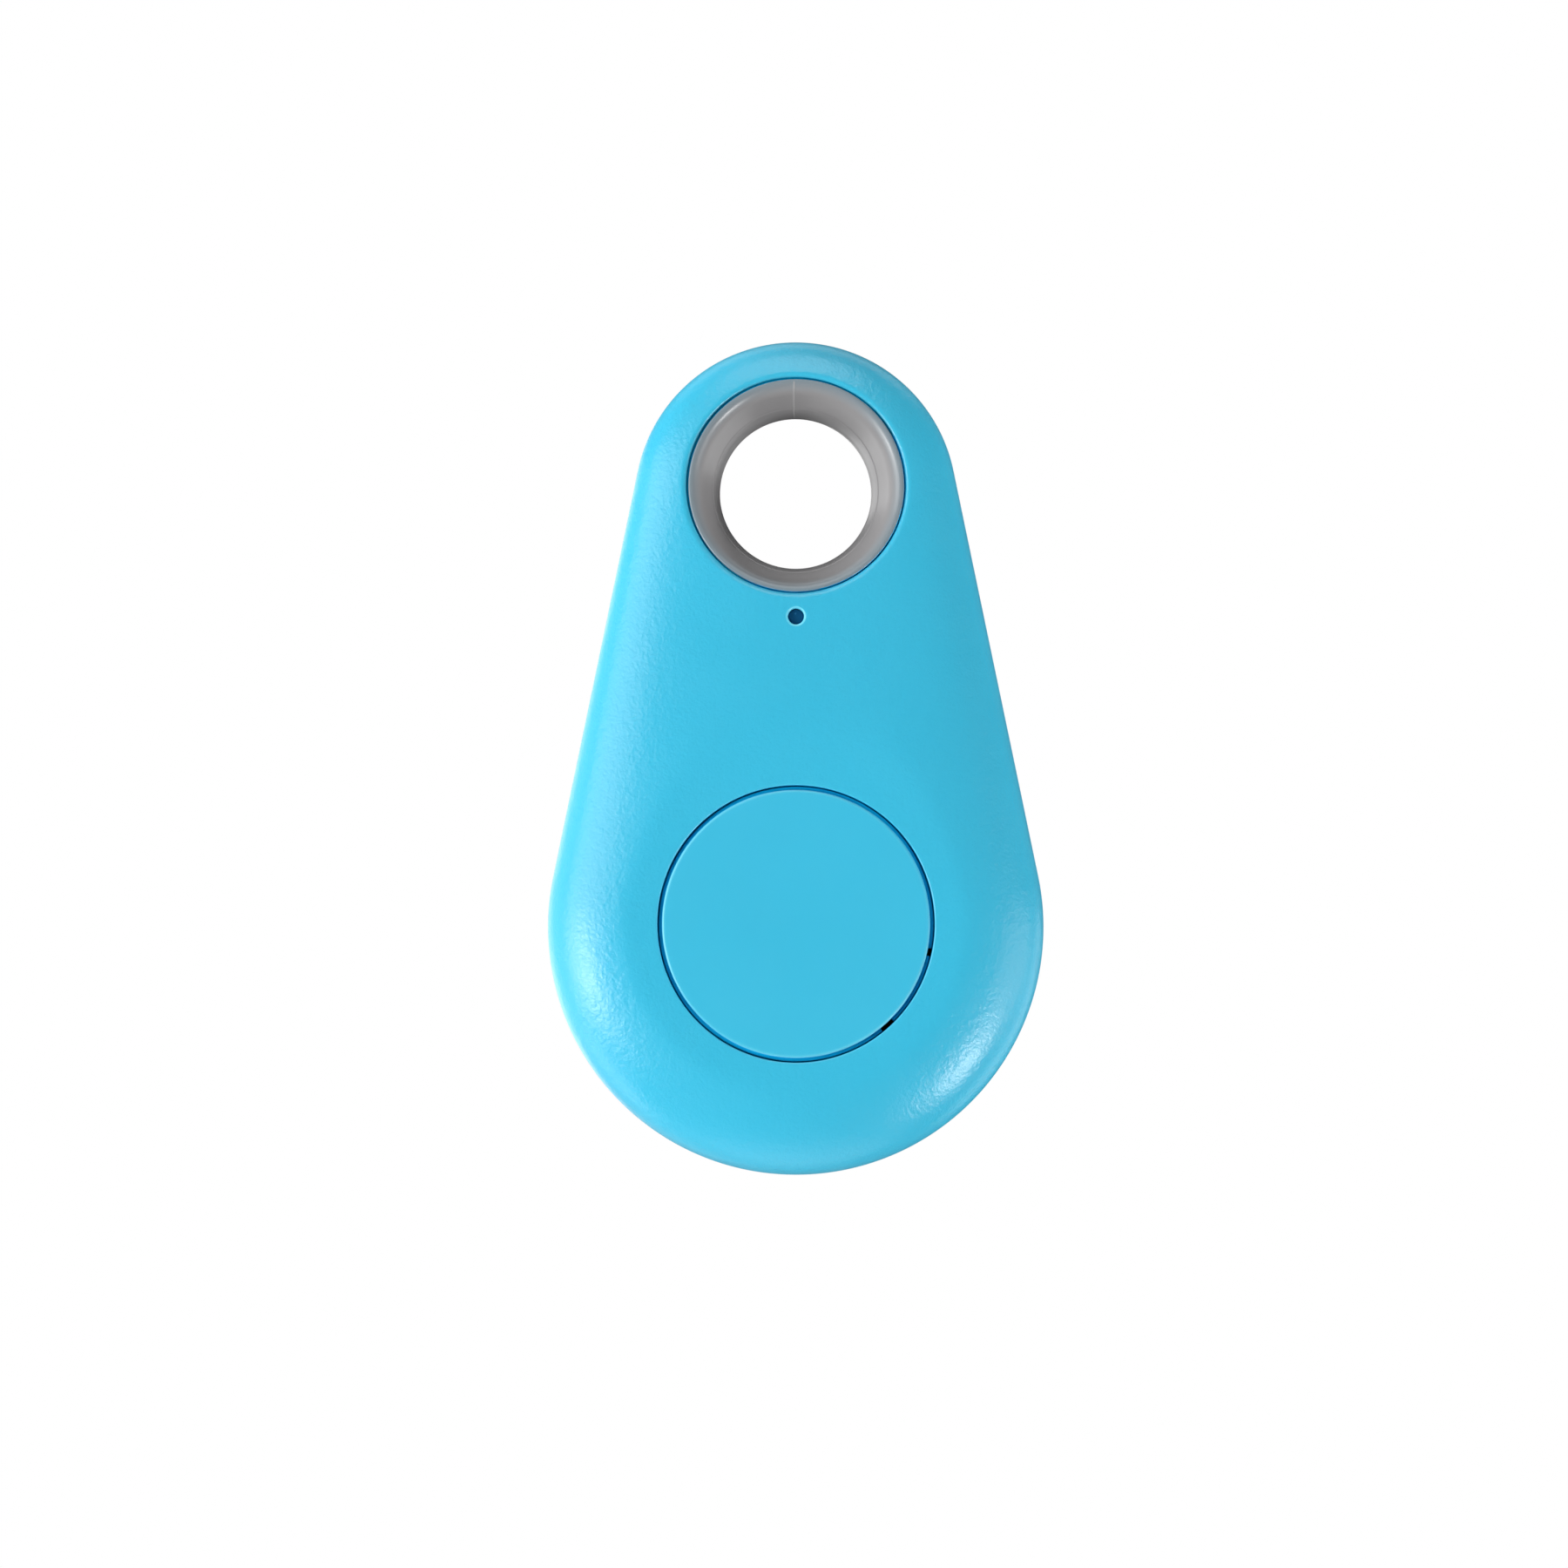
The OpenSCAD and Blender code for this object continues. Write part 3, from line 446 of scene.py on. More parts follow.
def make_front_shell():
    m = Moulding()
    holes = [
        (0, 0, HOLE_R + HOLE_EDGE, RING_N),
        (0, BODY_Y, BUTTON_HOLE_R + BUTTON_HOLE_EDGE, BUTTON_N),
        (0, LED_Y, LED_HOLE_R + LED_EDGE, LED_N),
    ]
    outer_skin(m, FRONT_H, front_w, holes, HOLE_RINGS + LED_RINGS + FLAT_RINGS)
    side = [crown_loop(h, FRONT_H) for h in SIDE_LEVELS]
    side[-1] = on_surface(side[-1][:, :2], front_w)
    # rim, groove and inside skin
    groove = [at_height(outline(1.0, GROOVE_IN), w) for w in (0.0, GROOVE_H)]
    skin = inner_rows(GROOVE_H, FRONT_H)
    m.strip(side[::-1] + seam_rows()[::-1] + groove + skin)
    inner_holes = [
        (0, 0, COLLAR_R, RING_N),
        (0, BODY_Y, BUTTON_HOLE_R, BUTTON_N),
        (0, LED_Y, LED_HOLE_R, LED_N),
    ]
    inner_skin(m, skin[-1], front_inner_w, inner_holes, ROOF_RINGS, ROOF_SPACING)
    # walls of the three holes
    hole_collar(m, front_w, front_inner_w, COLLAR_W)
    m.strip(
        edge_rows(0, BODY_Y, BUTTON_HOLE_R, BUTTON_HOLE_EDGE, BUTTON_N, front_w)
        + [at_height(circle(0, BODY_Y, BUTTON_HOLE_R, BUTTON_N), ROOF_H)]
    )
    small_hole(m, LED_Y, LED_HOLE_R, LED_N, front_w, front_inner_w)
    # bosses with sockets for the pins, and stakes through the board
    for x, y in PINS:
        top = float(front_inner_w(x, y)) + ROOT
        socket = [(0, SOCKET_TOP), (SOCKET_R, SOCKET_TOP), (SOCKET_R, PCB_FRONT + SOCKET_CHAMFER)]
        boss = [
            (SOCKET_R + SOCKET_CHAMFER, PCB_FRONT),
            (BOSS_R - BOSS_CHAMFER, PCB_FRONT),
            (BOSS_R, PCB_FRONT + BOSS_CHAMFER),
            (BOSS_R + BOSS_DRAFT, top),
            (0, top),
        ]
        m.lathe(x, y, socket + boss, BOSS_N)
    for x, y in STAKES:
        top = float(front_inner_w(x, y)) + ROOT
        low = PCB_REAR - STAKE_HEAD_H
        head = [(0, low)] + [(r, low + w) for r, w in STAKE_DOME] + [(STAKE_HEAD_R, PCB_REAR)]
        shank = [(STAKE_R, PCB_REAR), (STAKE_R, PCB_FRONT)]
        boss = [(STAKE_BOSS_R, PCB_FRONT), (STAKE_BOSS_R, top), (0, top)]
        m.lathe(x, y, head + shank + boss, BOSS_N)
    return m.mesh("front_shell_moulding")


def cut_pry_notch(shell):
    cutter = Moulding()
    x0, y0 = PRY_X, BODY_Y - BODY_R
    corners = [
        (-x0, y0 - PRY_DEEP),
        (x0, y0 - PRY_DEEP),
        (x0, y0 + PRY_STRAIGHT),
        (x0 - PRY_CORNER, y0 + PRY_DEEP),
        (-x0 + PRY_CORNER, y0 + PRY_DEEP),
        (-x0, y0 + PRY_STRAIGHT),
    ]
    low, high = -SEAM - PRY_LOW, -SEAM + PRY_HIGH
    loops = [np.array([(x, y, w) for x, y in corners]) for w in (low, high)]
    cutter.strip(loops)
    for loop, w in zip(loops, (low, high), strict=True):
        cutter.fan(loop, (0, y0, w))
    tool = cutter.mesh("notch_tool")
    cut = shell.modifiers.new("notch", "BOOLEAN")
    cut.operation, cut.object, cut.solver = "DIFFERENCE", tool, "EXACT"
    evaluated = shell.evaluated_get(bpy.context.evaluated_depsgraph_get())
    mesh = bpy.data.meshes.new_from_object(evaluated)
    shell.modifiers.clear()
    shell.data = mesh
    bpy.data.objects.remove(tool)


def join(name, objects):
    bm = bmesh.new()
    for o in objects:
        bm.from_mesh(o.data)
    mesh = bpy.data.meshes.new(name)
    bm.to_mesh(mesh)
    bm.free()
    for o in objects:
        bpy.data.objects.remove(o)
    shade(mesh, SHARP)
    return new_object(name, mesh)


def make_rear_shell():
    m = Moulding()
    holes = [(0, 0, HOLE_R + HOLE_EDGE, RING_N), (0, PORT_Y, PORT_R + LED_EDGE, PORT_N)]
    outer_skin(m, REAR_H, rear_w, holes, HOLE_RINGS + PORT_RINGS)
    side = [crown_loop(h, REAR_H) for h in SIDE_LEVELS]
    lip_end = -LIP_H - SEAM
    lip = [
        at_height(outline(1.0, LIP_IN), 0.0),
        at_height(outline(1.0, LIP_IN), lip_end + LIP_CHAMFER_H),
        at_height(outline(1.0, LIP_IN + LIP_CHAMFER), lip_end),
        at_height(outline(1.0, WALL), lip_end),
        at_height(outline(1.0, WALL), 0.0),
    ]
    skin = inner_rows(FLOOR_START, REAR_H, 12)
    m.strip(side[::-1] + seam_rows()[::-1] + lip + skin)
    inner_holes = [(0, 0, COLLAR_R, RING_N), (0, PORT_Y, PORT_R, PORT_N)]
    inner_skin(m, skin[-1], rear_inner_w, inner_holes, [], FLOOR_SPACING)
    hole_collar(m, rear_w, rear_inner_w, COLLAR_W - SEAM)
    small_hole(m, PORT_Y, PORT_R, PORT_N, rear_w, rear_inner_w)
    # built facing forwards, then turned to the rear
    for pts in m.points:
        pts[:, 2] = -pts[:, 2] - SEAM
    shell = m.mesh("rear_shell_moulding")
    cut_pry_notch(shell)
    # locating pins stand up from the floor
    pins = Moulding()
    for x, y in PINS:
        floor = -float(rear_inner_w(x, y)) - SEAM - ROOT
        foot = [(0, floor)] + [(PIN_R + r, floor + w) for r, w in PIN_FOOT]
        tip = [
            (PIN_R, PIN_TOP - PIN_TIP),
            (PIN_SHOULDER_R, PIN_TOP - PIN_ROUND),
            (PIN_END_R, PIN_TOP),
            (0, PIN_TOP),
        ]
        pins.lathe(x, y, foot + tip, PIN_N)
    return join("rear_shell_moulding", [shell, pins.mesh("pins")])


def make_button():
    m = Moulding()
    # degrees round the button from +x, with a column on each side of every notch edge
    cuts = []
    for deg, width in NOTCHES:
        half = math.degrees(width / 2 / NOTCH_R)
        cuts.append((deg - half, deg + half))
    ends = [end for cut in cuts for end in cut]
    even = np.arange(0, 360, 360 / BUTTON_TURNS) - 180
    angles = [a for a in even if all(abs(a - end) > NOTCH_CLEAR for end in ends)]
    angles += [end + d for end in ends for d in (-NOTCH_SPLIT, NOTCH_SPLIT)]
    angles = np.array(sorted(angles))
    solid = np.array([all(not lo <= a <= hi for lo, hi in cuts) for a in angles])
    rad = np.radians(angles)

    def loop(r, w):
        """Circle at height w; past the cap's wall it falls back to the wall in a notch."""
        r = np.where(solid, r, NOTCH_FLOOR) if r > BUTTON_R else np.full(len(rad), r)
        return np.column_stack([r * np.cos(rad), BODY_Y + r * np.sin(rad), np.full(len(rad), w)])

    edge = BUTTON_EDGE
    loops = [loop(r, CAP_TOP) for r in (*CAP_RINGS, BUTTON_R - edge - CAP_EDGE_GAP)]
    for a in quarter(8):
        r, w = BUTTON_R - edge * (1 - math.sin(a)), CAP_TOP - edge * (1 - math.cos(a))
        loops.append(loop(r, w))
    base = FLANGE_TOP - FLANGE_T
    profile = [
        (BUTTON_R, STEP_W),
        (STEP_R - STEP_CHAMFER, STEP_W),
        (STEP_R, STEP_W - STEP_CHAMFER),
        (STEP_R, STEP_W - STEP_LAND),
        (STEP_R, FLANGE_TOP),
        (FLANGE_R - FLANGE_CHAMFER, FLANGE_TOP),
        (FLANGE_R, FLANGE_TOP - FLANGE_CHAMFER),
        (FLANGE_R, base),
        (PLATE_R, base),
        (PLATE_R, PLATE_W - PLATE_FILLET),
        (PLATE_R - PLATE_FILLET, PLATE_W),
        (CAP_RINGS[0], PLATE_W),
    ]
    loops += [loop(r, w) for r, w in profile]
    m.strip(loops)
    m.fan(loops[0], (0, BODY_Y, CAP_TOP))
    m.fan(loops[-1], (0, BODY_Y, PLATE_W))
    post = [
        (0, POST_W),
        (POST_R - POST_CHAMFER, POST_W),
        (POST_R, POST_W + POST_CHAMFER),
        (POST_R, PLATE_W - POST_FILLET_H),
        (POST_R + POST_FILLET, PLATE_W + POST_SINK),
        (0, PLATE_W + POST_SINK),
    ]
    m.lathe(0, BODY_Y, post, POST_N)
    for ax, ay in ((RIB_L, RIB_T), (RIB_T, RIB_L)):
        corners = [(-ax, -ay), (ax, -ay), (ax, ay), (-ax, ay)]
        low = np.array([(x, BODY_Y + y, PLATE_W - RIB_DROP) for x, y in corners])
        high = low + [0, 0, RIB_H]
        m.strip([low, high])
        for end in (low, high):
            m.triangles(end, [[0, 1, 2], [0, 2, 3]])
    return m.mesh("button_moulding")


def off_flash(a):
    return np.abs((a - FLASH_TURN + 1) % TURN - 1)


def bezier(t, p0, p1, p2, p3):
    s = 1 - t
    return s**3 * p0 + 3 * t * s**2 * p1 + 3 * t * t * s * p2 + t**3 * p3


def make_liner():
    """Two funnels that meet in a short neck, each with a rounded rim that follows the crown."""
    m = Moulding()
    a = np.arange(LINER_TURNS) * 2 * math.pi / LINER_TURNS
    flash = FLASH_TURN + FLASH_WIDTH * np.array([-1, -0.4, 0.4, 1])
    a = np.sort(np.concatenate([a[off_flash(a) > 2 * FLASH_WIDTH], flash % TURN]))
    raised = off_flash(a) < FLASH_WIDTH * 0.6
    sx, sy = np.sin(a), np.cos(a)
    shift = (sx - sy) / math.sqrt(2)
    top_r = LINER_R - LINER_EDGE
    cone_r, cone_w = FUNNEL[-1]

    def level(r, w):
        return np.full(len(a), r), np.full(len(a), w)

    def play(r):
        return LINER_PLAY * shift * np.clip((r - cone_r) / (LINER_R - cone_r), 0, 1)

    def half(big):
        """Loops (r, w) from the middle of the neck out over the rim and down to the body."""
        rim = face_w(top_r * sx, top_r * sy, big) - LINER_RIM_DROP
        loops = [level(r, w) for r, w in NECK + FUNNEL]
        rise = rim - cone_w
        for k in range(1, RIM_STEPS + 1):
            t = k / RIM_STEPS
            r = bezier(t, cone_r, cone_r + RIM_OUT * rise, top_r - RIM_IN, top_r)
            w = bezier(t, cone_w, cone_w + RIM_UP * rise, rim, rim)
            loops.append((r, w))
        # the parting line starts above the neck
        loops = [(r - FLASH_H * raised * (k > len(NECK)), w) for k, (r, w) in enumerate(loops)]
        for t in quarter(4)[1:]:
            r = np.full(len(a), top_r + LINER_EDGE * math.sin(t))
            loops.append((r, rim - LINER_EDGE * (1 - math.cos(t))))
        seat = rim - LINER_SEAT_DROP
        loops.append((np.full(len(a), LINER_R), seat))
        loops = [(r + play(r), w) for r, w in loops]
        loops.append((np.full(len(a), LINER_SEAT_R), seat))
        return loops + [level(r, w) for r, w in LINER_OUTSIDE]

    def stand(loops, sign):
        return [np.column_stack([r * sx, r * sy, sign * w]) for r, w in loops]

    front, rear = stand(half(FRONT_H), 1), stand(half(REAR_H), -1)
    m.strip(rear[::-1] + front[1:] + rear[-1:])
    return m.mesh("liner_moulding", LINER_SHARP)


shell_front = make_front_shell()
shell_rear = make_rear_shell()
button = make_button()
liner = make_liner()

for piece, body, node, slot in (
    (shell_front, "tag_body", "front_shell", "shell_blue"),
    (shell_rear, "rear_cover", "rear_shell", "shell_blue"),
    (button, "button", "button_cap", "shell_blue"),
    (liner, "tag_body", "hole_liner", "liner_grey"),
):
    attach(piece, body)
    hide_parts(node)


# ---------------------------------------------------------------- shader building

# the part of a noise texture's range that carries nearly all of its values
NOISE_LOW, NOISE_HIGH = 0.3, 0.7
PLASTIC_IOR, RESIN_IOR = 1.5, 1.49
# noise scale of the moulded grain
GRAIN = 5200.0


def new_material(name):
    mat = bpy.data.materials.new(name)
    mat.use_nodes = True
    tree = mat.node_tree
    tree.nodes.clear()
    out = tree.nodes.new("ShaderNodeOutputMaterial")
    bsdf = tree.nodes.new("ShaderNodeBsdfPrincipled")
    tree.links.new(bsdf.outputs[0], out.inputs[0])
    return mat, tree, bsdf


def dress(tree, bsdf, colour, rough, normal, **fixed):
    """Plugs the three driven sockets and sets the uniform ones, named with underscores."""
    for socket, source in (("Base Color", colour), ("Roughness", rough), ("Normal", normal)):
        tree.links.new(source, bsdf.inputs[socket])
    for socket, value in fixed.items():
        bsdf.inputs[socket.replace("_", " ")].default_value = value


def add(tree, kind, values=None, **settings):
    node = tree.nodes.new(kind)
    for k, v in settings.items():
        setattr(node, k, v)
    for k, v in (values or {}).items():
        node.inputs[k].default_value = v
    return node


def coordinates(tree):
    return add(tree, "ShaderNodeTexCoord").outputs["Object"]


def noise(tree, where, scale, detail=3.0, rough=0.5):
    values = {"Scale": scale, "Detail": detail, "Roughness": rough, "Lacunarity": 2.0}
    n = add(tree, "ShaderNodeTexNoise", values)
    tree.links.new(where, n.inputs["Vector"])
    return n.outputs["Fac"]


def ramp(tree, source, low, high, to_low, to_high):
    values = {"From Min": low, "From Max": high, "To Min": to_low, "To Max": to_high}
    r = add(tree, "ShaderNodeMapRange", values)
    tree.links.new(source, r.inputs["Value"])
    return r.outputs["Result"]


def uneven(tree, source, low, high):
    """Spreads a noise over the values from low to high."""
    return ramp(tree, source, NOISE_LOW, NOISE_HIGH, low, high)


def colour_mix(tree, factor, a, b):
    """Mixes from a, which is a colour or a socket, to the colour b."""
    m = add(tree, "ShaderNodeMix", data_type="RGBA")
    tree.links.new(factor, m.inputs["Factor"])
    if isinstance(a, tuple):
        m.inputs["A"].default_value = (*a, 1)
    else:
        tree.links.new(a, m.inputs["A"])
    m.inputs["B"].default_value = (*b, 1)
    return m.outputs["Result"]


def bump(tree, height, distance, normal=None):
    b = add(tree, "ShaderNodeBump", {"Strength": 1.0, "Distance": distance})
    tree.links.new(height, b.inputs["Height"])
    if normal is not None:
        tree.links.new(normal, b.inputs["Normal"])
    return b.outputs["Normal"]


def mapped(tree, where, stretch):
    m = add(tree, "ShaderNodeMapping", {"Scale": stretch})
    tree.links.new(where, m.inputs["Vector"])
    return m.outputs["Vector"]


def math_node(tree, operation, *values):
    n = add(tree, "ShaderNodeMath", operation=operation)
    for socket, value in zip(n.inputs, values, strict=False):
        if isinstance(value, float):
            socket.default_value = value
        else:
            tree.links.new(value, socket)
    return n.outputs[0]


def worn_and_lit_edge(tree, radius):
    """Mask of the paler edges, partly wear and partly painted highlight: goes from 0 on flat faces
    to 1 on outside edges tighter than radius.
    """
    bevel = add(tree, "ShaderNodeBevel", {"Radius": radius}, samples=4)
    face = add(tree, "ShaderNodeNewGeometry")
    dot = add(tree, "ShaderNodeVectorMath", operation="DOT_PRODUCT")
    tree.links.new(bevel.outputs[0], dot.inputs[0])
    tree.links.new(face.outputs["Normal"], dot.inputs[1])
    return ramp(tree, dot.outputs["Value"], 1.0, 0.86, 0.0, 1.0)


# ---------------------------------------------------------------- materials


def matte_plastic(name, colour, rough, depth, subsurface=0.0, edge=None, edge_band=0.00014):
    """Spark-eroded moulding: fine pitted grain, patchy gloss, a faint colour drift and,
    with an edge colour, edges painted paler over the given width, partly as rubbed wear and partly
    as a painted highlight."""
    mat, tree, bsdf = new_material(name)
    where = coordinates(tree)
    light = tuple(min(1, c * 1.04 + 0.002) for c in colour)
    dark = tuple(c * 0.965 for c in colour)
    base = colour_mix(tree, noise(tree, where, 90, 2), dark, light)
    gloss = uneven(tree, noise(tree, where, 260, 4, 0.6), rough - 0.04, rough + 0.04)
    if edge:
        # edges painted paler: partly rubbed wear, partly a painted highlight where the rims catch
        # the light
        edge_wear_and_highlight = worn_and_lit_edge(tree, edge_band)
        base = colour_mix(tree, math_node(tree, "MULTIPLY", edge_wear_and_highlight, 0.75), base, edge)
        polish = math_node(tree, "MULTIPLY", edge_wear_and_highlight, 0.1)
        gloss = math_node(tree, "SUBTRACT", gloss, polish)
    coarse = bump(tree, noise(tree, where, GRAIN * 0.4, 2, 0.5), depth * 1.4)
    fine = bump(tree, noise(tree, where, GRAIN, 2, 0.55), depth, coarse)
    dress(tree, bsdf, base, gloss, fine, IOR=PLASTIC_IOR, Sheen_Weight=0.08)
    bsdf.inputs["Subsurface Weight"].default_value = subsurface
    bsdf.inputs["Subsurface Radius"].default_value = (0.3, 0.8, 1.0)
    bsdf.inputs["Subsurface Scale"].default_value = 0.0006
    return mat


def liner_plastic():
    """Smoky moulding, darkened down at the neck with painted shade, and with the blue of the shell
    showing through its rim painted in as colour.
    """
    mat, tree, bsdf = new_material("liner_plastic")
    where = coordinates(tree)
    radius = add(tree, "ShaderNodeVectorMath", operation="LENGTH")
    tree.links.new(mapped(tree, where, (1, 0, 1)), radius.inputs[0])
    out = radius.outputs["Value"]
    smoke = colour_mix(tree, noise(tree, where, 240, 3), (0.29, 0.285, 0.29), (0.31, 0.305, 0.31))
    # painted shade: darker down towards the neck, where less light reaches
    painted_neck_shade = ramp(tree, out, 5.3 * MM, NECK_R * MM, 0.0, 0.5)
    # painted light: the blue of the shell showing through the rim
    rim = ramp(tree, out, 5.9 * MM, LINER_R * MM, 0.0, 0.6)
    smoke = colour_mix(tree, painted_neck_shade, smoke, (0.20, 0.20, 0.205))
    smoke = colour_mix(tree, rim, smoke, (0.15, 0.27, 0.34))
    gloss = uneven(tree, noise(tree, where, 700, 4, 0.6), 0.29, 0.33)
    grain = bump(tree, noise(tree, where, 2600, 3), 1e-6)
    dress(tree, bsdf, smoke, gloss, grain, IOR=PLASTIC_IOR)
    return mat


def deep_plastic(name, colour):
    """The shell's plastic down in a gap, a deeper blue where light has come through the walls."""
    mat, tree, bsdf = new_material(name)
    where = coordinates(tree)
    dark = tuple(c * 0.9 for c in colour)
    base = colour_mix(tree, noise(tree, where, 400, 3), dark, colour)
    gloss = uneven(tree, noise(tree, where, 900, 3), 0.55, 0.7)
    grain = bump(tree, noise(tree, where, 4000, 2), 4e-6)
    dress(tree, bsdf, base, gloss, grain, Specular_IOR_Level=0.1)
    return mat


def moulded(name, dark, light, rough, scale, depth, coat=0.0):
    """Small moulded or coated part: mottled colour, uneven gloss, fine surface grain."""
    mat, tree, bsdf = new_material(name)
    where = coordinates(tree)
    base = colour_mix(tree, noise(tree, where, scale, 4, 0.6), dark, light)
    gloss = uneven(tree, noise(tree, where, scale * 0.4, 3), rough - 0.06, rough + 0.06)
    grain = bump(tree, noise(tree, where, scale * 2.5, 3), depth)
    dress(tree, bsdf, base, gloss, grain, Coat_Weight=coat, Coat_Roughness=0.15)
    return mat


def clear_resin(name, dark, light, rough, through):
    mat, tree, bsdf = new_material(name)
    where = coordinates(tree)
    base = colour_mix(tree, noise(tree, where, 900, 3), dark, light)
    gloss = uneven(tree, noise(tree, where, 2400, 3), rough - 0.05, rough + 0.05)
    grain = bump(tree, noise(tree, where, 5000, 2), 3e-6)
    dress(tree, bsdf, base, gloss, grain, IOR=RESIN_IOR, Transmission_Weight=through)
    return mat


def metal(name, dark, light, rough, scale, stretch=(1, 1, 1), depth=2e-6):
    """Bare or plated metal: tarnish in patches, drawn or brushed scratches along one axis."""
    mat, tree, bsdf = new_material(name)
    where = coordinates(tree)
    tarnish = noise(tree, where, scale * 0.25, 4, 0.6)
    scratch = noise(tree, mapped(tree, where, stretch), scale, 4, 0.65)
    dull = ramp(tree, tarnish, 0.35, 0.65, rough + 0.06, rough - 0.04)
    worn = ramp(tree, scratch, 0.4, 0.7, 0.0, 0.08)
    base = colour_mix(tree, tarnish, dark, light)
    gloss = math_node(tree, "ADD", dull, worn)
    dress(tree, bsdf, base, gloss, bump(tree, scratch, depth), Metallic=1.0)
    return mat


# board tracks, metres: pitch and width
TRACK_PITCH, TRACK_WIDTH = 0.00062, 0.00022


def board_mask():
    """Green solder mask over copper tracks, which stand up a little and look lighter."""
    mat, tree, bsdf = new_material("board_mask")
    where = coordinates(tree)
    split = add(tree, "ShaderNodeSeparateXYZ")
    tree.links.new(where, split.inputs[0])

    def lines(axis, region):
        """Parallel tracks across one axis, kept only where a blocky noise is high."""
        along = math_node(tree, "MULTIPLY", split.outputs[axis], 1 / TRACK_PITCH)
        part = math_node(tree, "SUBTRACT", math_node(tree, "FRACT", along), 0.5)
        fold = math_node(tree, "ABSOLUTE", part)
        band = math_node(tree, "LESS_THAN", fold, TRACK_WIDTH / TRACK_PITCH / 2)
        return math_node(tree, "MULTIPLY", band, math_node(tree, "GREATER_THAN", region, 0.62))

    cells = add(tree, "ShaderNodeTexVoronoi", {"Scale": 420.0}, distance="CHEBYCHEV")
    tree.links.new(where, cells.inputs["Vector"])
    shares = add(tree, "ShaderNodeSeparateColor")
    tree.links.new(cells.outputs["Color"], shares.inputs[0])
    across, down, poured = shares.outputs
    tracks = math_node(tree, "MAXIMUM", lines("X", across), lines("Z", down))
    copper = math_node(tree, "MAXIMUM", tracks, math_node(tree, "GREATER_THAN", poured, 0.7))
    mottle = noise(tree, where, 600, 3)
    mask = colour_mix(tree, mottle, (0.004, 0.075, 0.028), (0.006, 0.1, 0.036))
    base = colour_mix(tree, copper, mask, (0.016, 0.19, 0.06))
    dress(tree, bsdf, base, uneven(tree, mottle, 0.28, 0.4), bump(tree, copper, 1.2e-5))
    return mat


def wound_wire():
    """Enamelled copper wire wound round the front-to-back axis."""
    mat, tree, bsdf = new_material("wound_wire")
    where = coordinates(tree)
    values = {"Scale": 3900.0, "Distortion": 0.6, "Detail": 1.0}
    turns = add(tree, "ShaderNodeTexWave", values, wave_type="BANDS", bands_direction="Y")
    tree.links.new(where, turns.inputs["Vector"])
    height = turns.outputs["Fac"]
    base = colour_mix(tree, height, (0.33, 0.09, 0.03), (0.86, 0.36, 0.18))
    gloss = uneven(tree, noise(tree, where, 900, 3), 0.22, 0.34)
    dress(tree, bsdf, base, gloss, bump(tree, height, 2.5e-5), Metallic=0.9)
    return mat


SHELL_COLOUR = (0.045, 0.525, 0.765)
# paler edge colours for the shell and the button: partly rubbed wear, partly painted highlight
# along the rims
SHELL_EDGE_WEAR_AND_HIGHLIGHT = (0.14, 0.64, 0.84)
BUTTON_EDGE_WEAR_AND_HIGHLIGHT = (0.34, 0.90, 0.99)
# painted highlight: the LED window's rounded rim painted paler than the shell
WINDOW_RIM_HIGHLIGHT = (0.15, 0.70, 0.90)
GAP_COLOUR = (0.0, 0.46, 0.80)
# stretch of the scratches on drawn strip and on rolled sheet
DRAWN, ROLLED = (1, 1, 12), (12, 1, 1)

shell_finish = matte_plastic(
    "shell_plastic", SHELL_COLOUR, 0.32, 2.3e-5, subsurface=0.1, edge=SHELL_EDGE_WEAR_AND_HIGHLIGHT
)
finish = {
    "shell_blue": shell_finish,
    "liner_grey": liner_plastic(),
    "board_green": board_mask(),
    "gold_plate": metal("gold_plate", (0.78, 0.50, 0.17), (0.95, 0.67, 0.27), 0.24, 1600),
    "copper": wound_wire(),
    "solder": metal("solder_alloy", (0.48, 0.48, 0.50), (0.72, 0.72, 0.73), 0.30, 2600, depth=6e-6),
    "steel": metal("spring_steel", (0.46, 0.46, 0.47), (0.62, 0.61, 0.60), 0.30, 1400, DRAWN),
    "nickel": metal("nickel_plate", (0.58, 0.57, 0.54), (0.74, 0.73, 0.70), 0.20, 1100, ROLLED),
    "black_resin": moulded(
        "black_resin", (0.012, 0.012, 0.013), (0.026, 0.026, 0.028), 0.46, 1800, 5e-6
    ),
    "ceramic": moulded("ceramic_body", (0.36, 0.25, 0.14), (0.47, 0.34, 0.20), 0.38, 3000, 3e-6),
    "white_resin": moulded(
        "white_resin", (0.66, 0.66, 0.62), (0.78, 0.78, 0.75), 0.36, 1500, 3e-6, coat=0.2
    ),
    "window_blue": clear_resin("window_blue", (0.006, 0.12, 0.29), (0.01, 0.15, 0.34), 0.24, 0.3),
    "lens": clear_resin("led_lens", (0.80, 0.78, 0.58), (0.92, 0.90, 0.74), 0.12, 0.75),
    "gasket": moulded("gasket_nylon", (0.10, 0.11, 0.12), (0.16, 0.17, 0.18), 0.52, 1900, 3e-6),
    "electrode": moulded(
        "pressed_powder", (0.010, 0.010, 0.011), (0.040, 0.039, 0.038), 0.75, 4200, 1.5e-5
    ),
    "anode_metal": metal(
        "anode_foil", (0.42, 0.43, 0.45), (0.60, 0.61, 0.63), 0.42, 900, depth=5e-6
    ),
    "magnet": metal("magnet_plate", (0.30, 0.30, 0.31), (0.45, 0.45, 0.46), 0.30, 1300, depth=3e-6),
}
button_finish = matte_plastic(
    "button_plastic", SHELL_COLOUR, 0.42, 4e-6, subsurface=0.1, edge=BUTTON_EDGE_WEAR_AND_HIGHLIGHT, edge_band=0.00022
)
